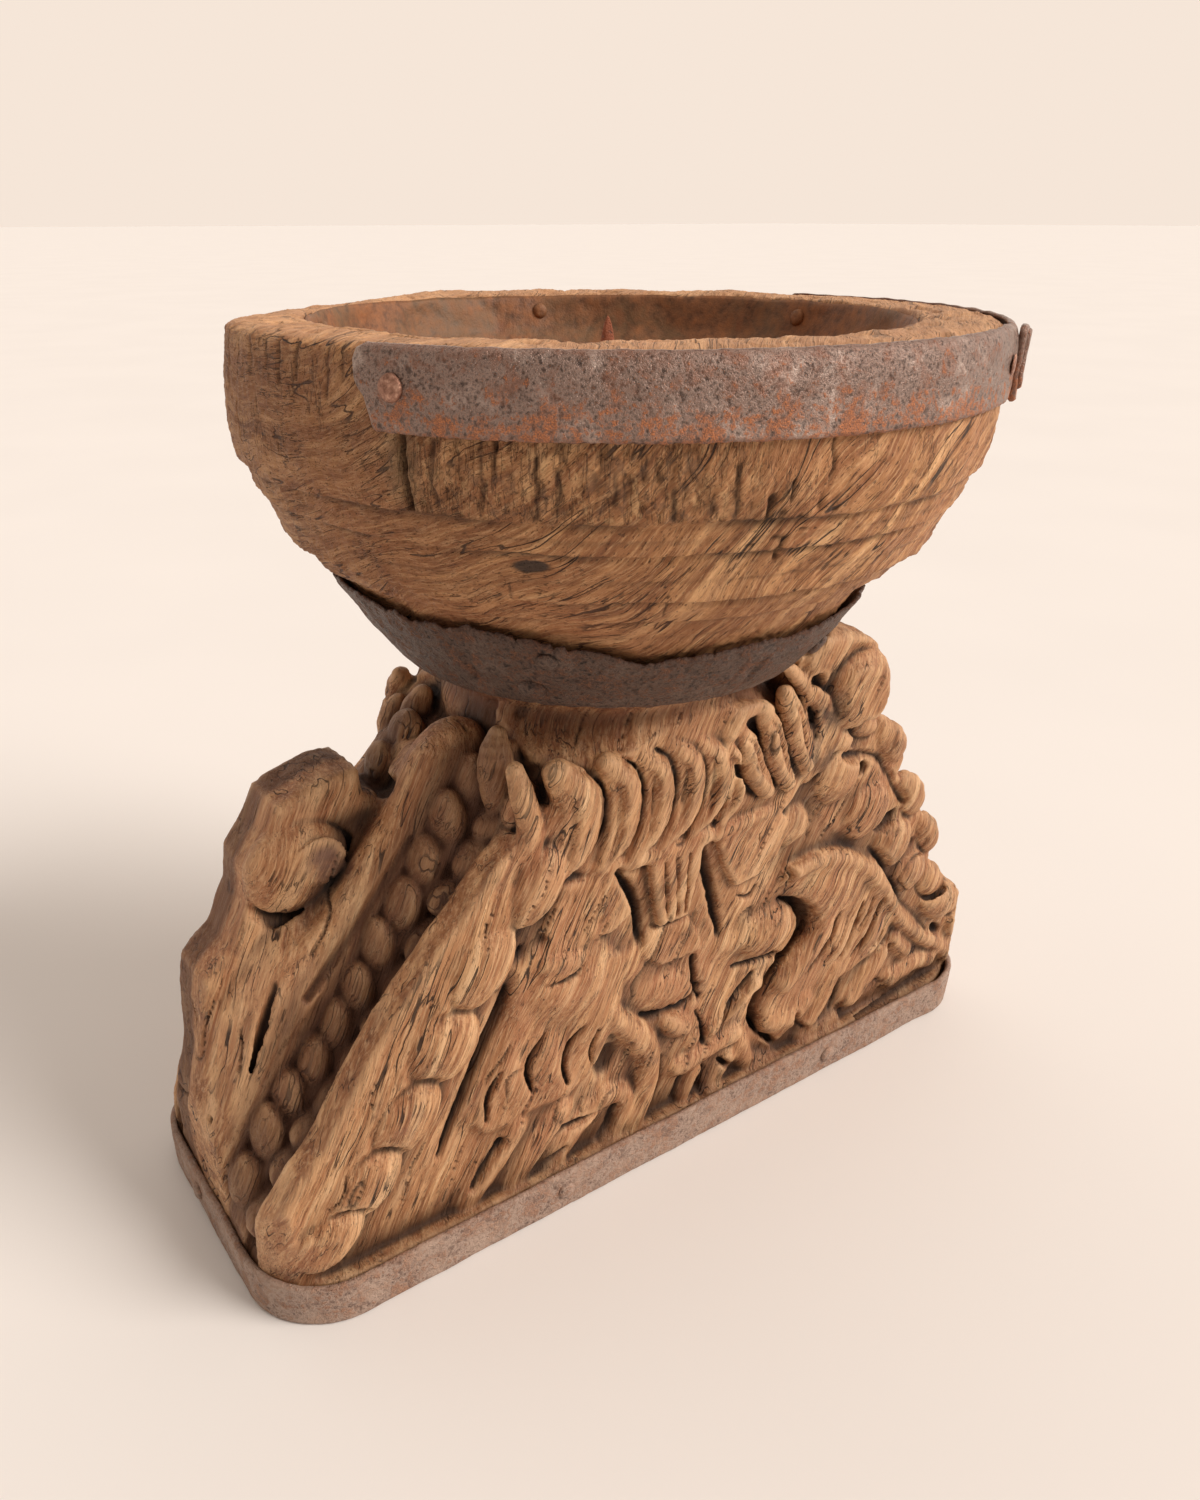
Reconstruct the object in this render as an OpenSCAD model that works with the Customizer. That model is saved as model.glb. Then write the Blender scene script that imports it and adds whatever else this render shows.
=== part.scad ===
// Carved wooden pedestal with a turned bowl, iron bands and a candle spike.
// Millimetres, +Z up, origin at the centre of the resting face.

/* [Foot] */
// Length of the wooden foot along X
foot_l = 287; // [260:1:310]
// Width of the wooden foot along Y
foot_w = 104; // [98:1:112]
// Corner radius of the wooden foot
foot_r = 23; // [16:1:30]
// Height of the square-cut plinth below the carving
plinth_h = 15; // [13:1:18]

/* [Foot band] */
// Height of the iron foot band
band_h = 14.4; // [10:0.2:17]
// Thickness of the iron foot band
band_t = 2; // [1.2:0.1:3]
// Length of the lap where the band's ends overlap
band_lap = 24; // [14:1:34]

/* [Carved block] */
// Height at which the carving gives way to the neck
shoulder_z = 143; // [136:1:148]
// Narrowest radius of the neck
neck_r = 44.5; // [40:0.5:47]
// Height of the joint between block and bowl, hidden by the collar
joint_z = 163; // [158:1:165]
// Number of petals carved round the neck
petals = 20; // [14:1:24]
// Depth of the raised figures on the front and back
relief = 3.5; // [2:0.5:3.5]

/* [Bowl] */
// Height of the bowl's rim
rim_z = 248; // [244:1:254]
// Largest radius of the wooden bowl
bowl_r = 98.8; // [96:0.2:101]
// Radius of the opening in the rim
mouth_r = 77.4; // [72:0.2:80]
// Radius of the tenon below the bowl
tenon_r = 19; // [14:0.5:24]
// Length of the tenon
tenon_l = 34; // [20:1:44]

/* [Liner pan] */
// Sheet thickness of the pan
pan_t = 1.2; // [0.8:0.1:2]
// Height of the pan's floor
pan_floor_z = 219; // [214:1:226]

/* [Candle spike] */
// Radius at the foot of the spike
spike_r = 3.2; // [2:0.1:4]
// Height of the spike's point
spike_top_z = 246.6; // [240:0.2:248]

/* [Rim straps] */
// Height of the rim strap
strap_h = 16.2; // [12:0.2:19]
// Thickness of the rim strap
strap_t = 1.7; // [1:0.1:2.4]

/* [Collar] */
// Sheet thickness of the collar
collar_t = 1; // [0.6:0.1:1.6]
// Largest height of the torn upper edge
collar_top_z = 184; // [178:1:188]

/* [Nails] */
// Radius of a strap nail's head
nail_head_r = 3; // [2:0.1:4]
// Width of a square nail shank
nail_w = 2.4; // [1.6:0.1:3]

/* [Hidden] */
$fn = 72;
clr = 0.15;
wood = "#a5734a";
wood_dark = "#7d5230";
iron = "#50463f";
rust = "#86502f";
copper = "#a86c56";
sx = foot_l / 287;
sz = shoulder_z / 143;
fy = foot_w / 2;
zs = (rim_z - joint_z) / 85;
// Height on the bowl for a height measured on the standard bowl
function bz(z) = joint_z + (z - 163) * zs;
function br(r) = r + bowl_r - 98.8;
// Azimuths in degrees: 0 is +X, 90 is +Y
front_from = -155;
front_to = -57.5;
rear_from = -57;
rear_to = 17;
band_nail_x = [-52, 62];
band_nail_back_x = [-78, 34];
strap_nail_az = [-152, -61.5, 13];
liner_nail_az = [4, 69, 141, 213, 285];
collar_nail_az = [-141.7, -62, 38, 118];

module rounded_plan(l, w, r) {
    square([l - 2 * r, w], center = true);
    square([l, w - 2 * r], center = true);
    for (i = [-1, 1], j = [-1, 1])
        translate([i * (l / 2 - r), j * (w / 2 - r)]) circle(r = r);
}

// Extrudes an outline drawn in X and Z from y0 to y1
module slab_y(y0, y1) {
    translate([0, y1, 0]) rotate([90, 0, 0]) linear_extrude(height = y1 - y0) children();
}

// A square nail shank pointing inwards from a radius
module shank(az, r0, len, z, w = nail_w) {
    rotate([0, 0, az]) translate([r0 - len, -w / 2, z - w / 2]) cube([len, w, w]);
}

// A low domed nail head whose back lies on a radius
module head(az, r0, z, hr, tilt = 0) {
    rotate([0, 0, az]) translate([r0, 0, z]) rotate([0, 90 + tilt, 0])
        rotate_extrude($fn = 28) polygon([[0, 0], [hr, 0], [hr, 0.5], [hr * 0.72, 1.1], [0, 1.4]]);
}

// Pockets for the band nails, the same boxes as the shanks
module band_shanks(len) {
    for (x = band_nail_x) translate([x * sx - nail_w / 2, -fy - band_t, band_h / 2 - nail_w / 2]) cube([nail_w, len, nail_w]);
    for (x = band_nail_back_x) translate([x * sx - nail_w / 2, fy + band_t - len, band_h / 2 - nail_w / 2]) cube([nail_w, len, nail_w]);
    for (s = [-1, 1]) translate([s > 0 ? foot_l / 2 + band_t - len : -foot_l / 2 - band_t, 9 - nail_w / 2, band_h / 2 - nail_w / 2]) cube([len, nail_w, nail_w]);
}

module front_outline() {
    polygon([[-141 * sx, 8], [-141 * sx, 20], [-134 * sx, 38 * sz], [-119 * sx, 55 * sz], [-105 * sx, 76 * sz], [-91 * sx, 93 * sz],
        [-74 * sx, 111 * sz], [-57 * sx, 128 * sz], [-44 * sx, 116 * sz], [0, 111 * sz], [34 * sx, 118 * sz], [38 * sx, 163 * sz], [50 * sx, 164 * sz],
        [61 * sx, 162 * sz], [71 * sx, 156 * sz], [75 * sx, 148 * sz], [74 * sx, 139 * sz], [84 * sx, 130 * sz], [91 * sx, 120 * sz],
        [97 * sx, 103 * sz], [109 * sx, 90 * sz], [119 * sx, 73 * sz], [126 * sx, 62 * sz], [135 * sx, 50 * sz], [141 * sx, 34 * sz],
        [141 * sx, 8]]);
}

// The back panel: a plain slope on the left and an eared shoulder on the right
module back_outline() {
    polygon([[-139 * sx, 8], [-139 * sx, 17], [-132 * sx, 28 * sz], [-118 * sx, 44 * sz], [-104 * sx, 66 * sz], [-90 * sx, 86 * sz],
        [-76 * sx, 104 * sz], [-62 * sx, 116 * sz], [-52 * sx, 126 * sz], [-44 * sx, 134 * sz], [-36 * sx, 118 * sz], [0, 112 * sz],
        [34 * sx, 118 * sz], [38 * sx, 160 * sz], [50 * sx, 162 * sz], [61 * sx, 160 * sz], [70 * sx, 155 * sz], [74 * sx, 147 * sz],
        [74 * sx, 136 * sz], [84 * sx, 126 * sz], [90 * sx, 112 * sz], [100 * sx, 98 * sz], [109 * sx, 84 * sz], [119 * sx, 69 * sz],
        [126 * sx, 58 * sz], [135 * sx, 46 * sz], [141 * sx, 32 * sz], [141 * sx, 8]]);
}

// Wall with a rounded ear at the left end
module wall_outline() {
    polygon([[-141 * sx, 8], [-141 * sx, 30 * sz], [-135 * sx, 58 * sz], [-132 * sx, 80 * sz], [-122 * sx, 91 * sz], [-114 * sx, 103 * sz],
        [-112 * sx, 114 * sz], [-107 * sx, 122 * sz], [-102 * sx, 130 * sz], [-92 * sx, 134 * sz], [-79 * sx, 135 * sz], [-76 * sx, 128 * sz],
        [-60 * sx, 136 * sz], [-40 * sx, 139 * sz], [-30 * sx, 8]]);
}

// The same wall, worn lower, at the right end
module low_wall_outline() {
    polygon([[141 * sx, 8], [141 * sx, 28 * sz], [134 * sx, 52 * sz], [124 * sx, 68 * sz], [112 * sx, 84 * sz], [98 * sx, 100 * sz],
        [84 * sx, 112 * sz], [70 * sx, 124 * sz], [56 * sx, 136 * sz], [40 * sx, 139 * sz], [30 * sx, 8]]);
}

module core_outline() {
    polygon([[-134 * sx, 8], [-128 * sx, 20], [-108 * sx, 50 * sz], [-84 * sx, 79 * sz], [-60 * sx, 114 * sz], [-46 * sx, 141 * sz],
        [46 * sx, 141 * sz], [60 * sx, 114 * sz], [84 * sx, 79 * sz], [108 * sx, 50 * sz], [128 * sx, 20], [134 * sx, 8]]);
}

// Ring of petals round the neck, cut off flat where the front and back panels stand
module petal_ring() {
    translate([0, 0, 108 * sz]) linear_extrude(height = 35 * sz) intersection() {
        union() {
            circle(r = 47);
            for (i = [0 : petals - 1]) rotate(i * 360 / petals + 4) translate([47, 0]) circle(r = 6.6, $fn = 28);
        }
        square([110, 2 * fy - 4], center = true);
    }
}

// Flat lens between two points in the drawing plane
module leaf(a, b, w) {
    m = (a + b) / 2;
    d = b - a;
    translate(m) rotate(atan2(d[1], d[0])) polygon([[-norm(d) / 2, 0], [-norm(d) / 4, w / 2], [norm(d) / 5, w / 2],
        [norm(d) / 2, 0], [norm(d) / 5, -w / 2], [-norm(d) / 4, -w / 2]]);
}

// Raised shapes on the front panel, drawn in X and Z
module front_figures() {
    // skirt, block and knob in the middle
    polygon([[-10 * sx, 98 * sz], [14 * sx, 98 * sz], [9 * sx, 80 * sz], [-5 * sx, 80 * sz]]);
    translate([-9 * sx, 62 * sz]) square([19, 14]);
    translate([-15 * sx, 47 * sz]) circle(r = 8.5);
    // arched form on the right
    polygon([[34 * sx, 56 * sz], [46 * sx, 84 * sz], [66 * sx, 100 * sz], [82 * sx, 90 * sz], [94 * sx, 66 * sz], [84 * sx, 72 * sz],
        [66 * sx, 82 * sz], [56 * sx, 72 * sz], [46 * sx, 52 * sz]]);
    // strokes on the left
    for (i = [0 : 4]) leaf([(-34 - 9 * i) * sx, (84 - 11 * i) * sz], [(-50 - 9 * i) * sx, (56 - 10 * i) * sz], 7);
    // strokes along the foot
    for (i = [0 : 6]) leaf([(-52 + 21 * i) * sx, 22], [(-42 + 21 * i) * sx, 40], 8);
    // beads down the right edge
    for (i = [0 : 4]) leaf([(60 + 14 * i) * sx, (121 - 18 * i) * sz], [(72 + 14 * i) * sx, (108 - 18 * i) * sz], 13);
    // leaves down the left ridge
    for (i = [0 : 4]) leaf([(-54 - 15 * i) * sx, (114 - 19 * i) * sz], [(-68 - 15 * i) * sx, (97 - 19 * i) * sz], 13);
}

module back_figures() {
    for (i = [-2 : 2]) leaf([i * 15 * sx, 100 * sz], [i * 25 * sx, 34 * sz], 13);
    for (i = [0 : 4], s = [-1, 1]) leaf([s * (54 + 15 * i) * sx, (110 - 18 * i) * sz], [s * (68 + 15 * i) * sx, (93 - 18 * i) * sz], 12);
}

// Rib and scales at one end; s is -1 for the left end
module end_carving(s) {
    slab_y(-17, 3) polygon([[s * 46 * sx, 142 * sz], [s * 56 * sx, 148 * sz], [s * 66 * sx, 140 * sz], [s * 96 * sx, 100 * sz],
        [s * 120 * sx, 72 * sz], [s * 141 * sx, 30], [s * 141 * sx, 10], [s * 112 * sx, 10], [s * 92 * sx, 56 * sz], [s * 46 * sx, 112 * sz]]);
    slab_y(-34, -19) for (i = [0 : 5]) leaf([s * (60 + 12.5 * i) * sx, (123 - 17 * i) * sz], [s * (72 + 12.5 * i) * sx, (100 - 17 * i) * sz], 14);
}

// Space swept by the bowl and collar, with a working gap
module bowl_room() {
    rotate_extrude() polygon([[0, joint_z], [55, joint_z], [55, 159], [61, 159.6], [70, 170], [80, 184], [80, 200], [0, 200]]);
}

module base_block() color(wood_dark) difference() {
    union() {
        linear_extrude(height = plinth_h) rounded_plan(foot_l, foot_w, foot_r);
        intersection() {
            union() {
                slab_y(-37, 37) core_outline();
                slab_y(-fy + 4, -36) front_outline();
                slab_y(36, fy - 4) back_outline();
                slab_y(2, 26) wall_outline();
                slab_y(2.5, 25.5) low_wall_outline();
                end_carving(-1);
                end_carving(1);
                slab_y(-fy + 4 - relief, -fy + 6) front_figures();
                slab_y(fy - 6, fy - 4 + relief) back_figures();
            }
            translate([0, 0, 4]) linear_extrude(height = 175) rounded_plan(foot_l, foot_w, foot_r);
        }
        // bosses at the shoulders
        translate([62 * sx, -fy + 5, 146 * sz]) rotate([90, 0, 0]) cylinder(h = 4, r = 12.5);
        translate([61 * sx, fy - 1, 144 * sz]) rotate([90, 0, 0]) cylinder(h = 4, r = 12.5);
        translate([-96 * sx, 4, 113 * sz]) rotate([90, 0, 0]) cylinder(h = 6, r = 14.5);
        petal_ring();
        // neck
        rotate_extrude() polygon([[0, 100], [46, 100], [48, shoulder_z], [neck_r + 1, shoulder_z + 4], [neck_r, shoulder_z + 8],
            [neck_r + 3, joint_z - 5], [neck_r + 7, joint_z], [0, joint_z]]);
    }
    bowl_room();
    // mortise for the bowl's tenon
    translate([0, 0, joint_z - tenon_l - 1]) cylinder(h = 60, r = tenon_r + clr);
    band_shanks(18);
    // flat resting face
    translate([-200, -200, -20]) cube([400, 400, 20]);
}

module foot_band() color(rust) difference() {
    union() {
        difference() {
            linear_extrude(height = band_h) rounded_plan(foot_l + 2 * band_t, foot_w + 2 * band_t, foot_r + band_t);
            translate([0, 0, -1]) linear_extrude(height = band_h + 2) rounded_plan(foot_l, foot_w, foot_r);
        }
        // outer tongue of the lap, on the back
        translate([60 * sx, fy + band_t - 0.01, 0.4]) cube([band_lap, band_t * 0.8, band_h - 0.8]);
    }
    band_shanks(18);
}

module band_nails() color(iron) {
    band_shanks(18);
    for (x = band_nail_x) translate([x * sx, -fy - band_t, band_h / 2]) rotate([90, 0, 0]) nail_cap();
    for (x = band_nail_back_x) translate([x * sx, fy + band_t, band_h / 2]) rotate([-90, 0, 0]) nail_cap();
    for (s = [-1, 1]) translate([s * (foot_l / 2 + band_t), 9, band_h / 2]) rotate([0, s * 90, 0]) nail_cap();
}

module nail_cap() {
    rotate_extrude($fn = 28) polygon([[0, 0], [nail_head_r, 0], [nail_head_r, 0.5], [nail_head_r * 0.7, 1.2], [0, 1.6]]);
}

// Inner surface of the wooden bowl, which the pan lies in
function well(t) = [[0, pan_floor_z - t], [44 - t * 0.3, pan_floor_z - t], [60 - t * 0.7, pan_floor_z + 4 - t * 0.7], [70 - t * 0.9, pan_floor_z + 13 - t * 0.3],
    [mouth_r - 2.4, rim_z - 10], [mouth_r, rim_z]];

module bowl() color(wood) difference() {
    union() {
        rotate_extrude($fn = 120) polygon([[0, joint_z], [50, joint_z], [br(60.5), bz(164)], [br(66), bz(171)], [br(71.8), bz(180)], [br(75.6), bz(185)],
            [br(74.8), bz(187)], [br(78), bz(189)], [br(85.5), bz(197)], [br(88.8), bz(202)], [br(91), bz(204)], [br(96), bz(213)], [br(98.4), bz(221)],
            [br(98.8), bz(229)], [br(98.6), bz(240)], [br(97.6), rim_z], [mouth_r, rim_z], [mouth_r - 2.4, rim_z - 10], [70, pan_floor_z + 13], [60, pan_floor_z + 4],
            [44, pan_floor_z], [0, pan_floor_z]]);
        translate([0, 0, joint_z - tenon_l]) cylinder(h = tenon_l + 4, r = tenon_r);
    }
    // blind hole for the spike's square tang
    translate([-2, -2, pan_floor_z - 30]) cube([4, 4, 31]);
    for (a = strap_nail_az) shank(a, bowl_r + 4, 22, strap_nail_z(a));
    for (a = liner_nail_az) liner_shank(a);
    for (a = collar_nail_az) collar_shank(a);
}

function strap_nail_z(a) = a < -100 ? rim_z - 8 : rim_z - strap_h / 2;

// Liner nails point outwards and down into the wood
module liner_shank(a) {
    rotate([0, 0, a]) translate([mouth_r - 5.4, -0.8, rim_z - 6]) rotate([0, 6, 0]) cube([14, 1.6, 1.6]);
}

module liner_pan() color(rust) difference() {
    rotate_extrude($fn = 120) polygon([[0, pan_floor_z], [44, pan_floor_z], [60, pan_floor_z + 4], [70, pan_floor_z + 13], [mouth_r - 2.4, rim_z - 10], [mouth_r - 0.3, rim_z - 0.8],
        [mouth_r - 0.3 - pan_t, rim_z - 0.8], [mouth_r - 2.4 - pan_t, rim_z - 10], [70 - pan_t, pan_floor_z + 13 + pan_t * 0.3],
        [60 - pan_t * 0.6, pan_floor_z + 4 + pan_t * 0.8], [44, pan_floor_z + pan_t], [0, pan_floor_z + pan_t]]);
    translate([-2, -2, pan_floor_z - 2]) cube([4, 4, 6]);
    for (a = liner_nail_az) liner_shank(a);
}

module liner_nails() color(iron) for (a = liner_nail_az) {
    liner_shank(a);
    rotate([0, 0, a]) translate([mouth_r - 1.45 - pan_t, 0, rim_z - 5.3]) rotate([0, -90, 0]) rotate([0, 12, 0])
        rotate_extrude($fn = 28) polygon([[0, 0], [2.2, 0], [2, 0.7], [1.2, 1.3], [0, 1.5]]);
}

module pricket() color(rust) {
    translate([-2, -2, pan_floor_z - 30]) cube([4, 4, 30 + pan_t]);
    translate([0, 0, pan_floor_z + pan_t]) rotate_extrude($fn = 32) polygon([[0, 0], [6, 0], [6, 1], [spike_r, 2.4],
        [spike_r * 0.72, (spike_top_z - pan_floor_z) * 0.6], [0.9, spike_top_z - pan_floor_z - 3.4], [0.2, spike_top_z - pan_floor_z - pan_t], [0, spike_top_z - pan_floor_z - pan_t]]);
}

// Section of the rim strap, seated on the bowl's side
module strap_section(top = 0) {
    polygon([[br(98.6), rim_z - strap_h], [br(98.6), rim_z - 8], [br(97.6), rim_z - top], [br(97.6) + strap_t, rim_z - top], [br(98.8) + strap_t, rim_z - 8], [br(98.8) + strap_t, rim_z - strap_h]]);
}

module arc(a0, a1) {
    rotate([0, 0, a0]) rotate_extrude(angle = a1 - a0, $fn = 120) children();
}

module lap_section(r0) {
    polygon([[r0, rim_z - strap_h], [r0, rim_z - 1.5], [br(98.8) + strap_t + 1.5, rim_z - 1.5], [br(98.8) + strap_t + 1.5, rim_z - strap_h]]);
}

module rim_strap_front() color(iron) difference() {
    arc(front_from, front_to) strap_section();
    rotate_extrude($fn = 120) bowl_wall();
    for (a = strap_nail_az) shank(a, bowl_r + 4, 22, strap_nail_z(a));
}

module rim_strap_rear() color(iron) difference() {
    union() {
        arc(rear_from, rear_to) strap_section();
        // hammered lap over the front strap's end
        arc(-61, -55.2) lap_section(br(98.8) + strap_t);
        arc(-56.8, -55.8) polygon([[br(98.8) + 0.6, rim_z - strap_h + 1], [br(98.8) + 0.6, rim_z - 3], [br(98.8) + strap_t + 0.8, rim_z - 3], [br(98.8) + strap_t + 0.8, rim_z - strap_h + 1]]);
    }
    rotate_extrude($fn = 120) bowl_wall();
    for (a = strap_nail_az) shank(a, bowl_r + 6, 24, strap_nail_z(a));
}

// The bowl's side under the straps
module bowl_wall() {
    polygon([[60, bz(221)], [br(98.4), bz(221)], [br(98.8), bz(229)], [br(98.6), bz(240)], [br(97.6), rim_z], [60, rim_z]]);
}

module strap_nails() color(copper) for (a = strap_nail_az) {
    out = a > -100 && a < -50 ? 3.2 : 1.7;
    shank(a, bowl_r + out, 18 + out, strap_nail_z(a));
    head(a, br(98.8) + (out > 3 ? strap_t + 1.5 : strap_t), strap_nail_z(a), nail_head_r);
}

// Cone of sheet iron round the joint, with a torn upper edge
module collar_shell() {
    rotate_extrude() polygon([[56.6, 160.4], [br(61.2), bz(164)], [br(66.6), bz(171)], [br(72.4), bz(180)], [br(75.2), bz(184)], [br(75.2) + collar_t, bz(184)],
        [br(72.4) + collar_t, bz(180)], [br(66.6) + collar_t, bz(171)], [br(61.2) + collar_t, bz(164)], [56.6 + collar_t, 160.4]]);
}

// One torn stretch of the collar's edge, from azimuth a over w degrees, d below the top
module torn(a, w, d) {
    arc(a, a + w) translate([48, collar_top_z - d]) square([40, 30]);
}

module collar() color(iron) difference() {
    collar_shell();
    // the edge stands higher at the back and sides than at the front
    for (i = [0 : 11]) torn(-155 + i * 10, 11, [4, 7, 9, 11, 12, 14, 15, 14, 12, 10, 7, 4][i]);
    for (i = [0 : 6]) torn(-28 + i * 32, 15, 1.5 + (i % 3) * 1.2);
    for (a = collar_nail_az) collar_shank(a);
}

module collar_shank(a) {
    rotate([0, 0, a]) translate([br(64.6), 0, bz(167)]) rotate([0, -38, 0]) translate([-18, -nail_w / 2, -nail_w / 2]) cube([18 + collar_t + 0.2, nail_w, nail_w]);
}

module collar_nails() color(iron) for (a = collar_nail_az) {
    difference() {
        union() {
            collar_shank(a);
            rotate([0, 0, a]) translate([br(64.6), 0, bz(167)]) rotate([0, -38, 0]) translate([collar_t, 0, 0]) sphere(r = 3.4, $fn = 28);
        }
        difference() {
            rotate_extrude() polygon([[40, 160.4], [56.6 + collar_t, 160.4], [br(61.2) + collar_t, bz(164)], [br(66.6) + collar_t, bz(171)], [br(72.4) + collar_t, bz(180)], [40, bz(180)]]);
            collar_shank(a);
        }
    }
}

base_block();
foot_band();
band_nails();
bowl();
liner_pan();
liner_nails();
pricket();
rim_strap_front();
rim_strap_rear();
strap_nails();
collar();
collar_nails();
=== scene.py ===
import math

import bpy
import numpy as np
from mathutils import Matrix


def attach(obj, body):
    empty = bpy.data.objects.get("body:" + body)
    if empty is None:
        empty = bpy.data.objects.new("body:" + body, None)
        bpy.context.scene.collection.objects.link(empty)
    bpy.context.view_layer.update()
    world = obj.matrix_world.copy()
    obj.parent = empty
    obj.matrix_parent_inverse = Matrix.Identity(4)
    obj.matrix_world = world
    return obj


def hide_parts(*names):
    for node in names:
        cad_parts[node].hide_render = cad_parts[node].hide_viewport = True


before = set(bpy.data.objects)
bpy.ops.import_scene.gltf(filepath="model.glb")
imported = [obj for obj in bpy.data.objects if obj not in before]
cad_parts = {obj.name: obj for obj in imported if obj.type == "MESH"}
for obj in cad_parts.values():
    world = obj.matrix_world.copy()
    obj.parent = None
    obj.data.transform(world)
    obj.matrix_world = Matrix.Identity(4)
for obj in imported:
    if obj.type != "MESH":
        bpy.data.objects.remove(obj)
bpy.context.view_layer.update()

import openvdb
from mathutils import Matrix, Vector

MM = 0.001
F32 = np.float32

# ------------------------------------------------------------------ noise
_tabs = {}


def noise(P, seed=0):
    """Gradient noise, about -1 to 1, at points P (N, 3)."""
    if seed not in _tabs:
        r = np.random.RandomState(seed + 11)
        p = r.permutation(256).astype(np.int32)
        g = r.normal(size=(256, 3)).astype(F32)
        g /= np.linalg.norm(g, axis=1)[:, None]
        _tabs[seed] = (np.concatenate([p, p]), g)
    p, g = _tabs[seed]
    P = np.asarray(P, F32)
    i = np.floor(P).astype(np.int32)
    f = (P - i).astype(F32)
    i &= 255
    u = f * f * f * (f * (f * 6 - 15) + 10)
    out = np.zeros(len(P), F32)
    for dx in (0, 1):
        wx = u[:, 0] if dx else 1 - u[:, 0]
        hx = p[(i[:, 0] + dx) & 255]
        for dy in (0, 1):
            wy = u[:, 1] if dy else 1 - u[:, 1]
            hy = p[hx + ((i[:, 1] + dy) & 255)]
            for dz in (0, 1):
                wz = u[:, 2] if dz else 1 - u[:, 2]
                gr = g[p[hy + ((i[:, 2] + dz) & 255)]]
                out += wx * wy * wz * (gr[:, 0] * (f[:, 0] - dx) + gr[:, 1] * (f[:, 1] - dy) + gr[:, 2] * (f[:, 2] - dz))
    return out * 1.5


def fbm(P, seed=0, octaves=3, gain=0.5):
    out = 0.0
    a = 1.0
    s = 1.0
    for k in range(octaves):
        out = out + a * noise(np.asarray(P) * s, seed + k)
        a *= gain
        s *= 2.03
    return out


def smooth(x, a, b):
    t = np.clip((x - a) / (b - a), 0, 1)
    return t * t * (3 - 2 * t)


def axes_from(f):
    f = np.array(f, float)
    f /= np.linalg.norm(f)
    a = np.cross(f, (0, 1, 0))
    a /= np.linalg.norm(a)
    b = np.cross(f, a)
    return a, b, f


# ------------------------------------------------------------------ meshes
def make(name, V, faces, mats, attrs=None, mat_index=None, smooth_shade=True):
    """V in mm (N, 3); faces an (M, 3) or (M, 4) array, or a list of such arrays."""
    if not isinstance(faces, (list, tuple)):
        faces = [faces]
    me = bpy.data.meshes.new(name)
    V = np.asarray(V, F32) * F32(MM)
    me.vertices.add(len(V))
    me.vertices.foreach_set("co", V.ravel())
    loops = np.concatenate([np.asarray(f, np.int32).ravel() for f in faces])
    counts = np.concatenate([np.full(len(f), np.asarray(f).shape[1], np.int32) for f in faces])
    starts = np.concatenate([[0], np.cumsum(counts)[:-1]]).astype(np.int32)
    me.loops.add(len(loops))
    me.loops.foreach_set("vertex_index", loops)
    me.polygons.add(len(counts))
    me.polygons.foreach_set("loop_start", starts)
    me.polygons.foreach_set("loop_total", counts)
    me.polygons.foreach_set("use_smooth", np.full(len(counts), smooth_shade, bool))
    if mat_index is not None:
        me.polygons.foreach_set("material_index", np.asarray(mat_index, np.int32))
    for m in mats:
        me.materials.append(m)
    me.update(calc_edges=True)
    me.validate()
    for k, a in (attrs or {}).items():
        at = me.attributes.new(k, "FLOAT", "POINT")
        at.data.foreach_set("value", np.asarray(a, F32))
    ob = bpy.data.objects.new(name, me)
    bpy.context.scene.collection.objects.link(ob)
    return ob


def grid_faces(nu, nv, wrap_u=False, wrap_v=False, base=0):
    """Quads of a grid stored u-major: index = u * nv + v."""
    U = np.arange(nu if wrap_u else nu - 1)
    W = np.arange(nv if wrap_v else nv - 1)
    u, v = np.meshgrid(U, W, indexing="ij")
    u2 = (u + 1) % nu
    v2 = (v + 1) % nv
    return (np.stack([u * nv + v, u2 * nv + v, u2 * nv + v2, u * nv + v2], -1).reshape(-1, 4) + base).astype(np.int32)


def vert_normals(V, quads):
    a, b, c, d = (V[quads[:, i]] for i in range(4))
    n = np.cross(c - a, d - b)
    out = np.zeros_like(V)
    for i in range(4):
        for k in range(3):
            out[:, k] += np.bincount(quads[:, i], n[:, k], len(V))
    return out / np.maximum(np.linalg.norm(out, axis=1)[:, None], 1e-9)


def join_parts(parts):
    """parts: list of (V, faces); returns V and faces as quads."""
    Vs, Fs, n = [], [], 0
    for V, f in parts:
        Vs.append(V)
        Fs.append(np.asarray(f) + n)
        n += len(V)
    return np.concatenate(Vs), Fs


# ------------------------------------------------------------------ carved block as a distance field
H = 0.8
LO = np.array([-148.0, -56.0, -3.0])
HI = np.array([154.0, 56.0, 169.0])
N = np.ceil((HI - LO) / H).astype(int) + 1
AX = [(LO[i] + H * np.arange(N[i])).astype(F32) for i in range(3)]
VOL = np.full(tuple(N), 40.0, F32)


def sub(lo, hi):
    s = []
    for i in range(3):
        a = int(np.clip(np.floor((lo[i] - LO[i]) / H), 0, N[i] - 1))
        b = int(np.clip(np.ceil((hi[i] - LO[i]) / H) + 1, a + 1, N[i]))
        s.append(slice(a, b))
    return tuple(s), AX[0][s[0]][:, None, None], AX[1][s[1]][None, :, None], AX[2][s[2]][None, None, :]


def smin(a, b, k):
    if k <= 0:
        return np.minimum(a, b)
    h = np.maximum(k - np.abs(a - b), 0) / k
    return np.minimum(a, b) - h * h * k * 0.25


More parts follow.
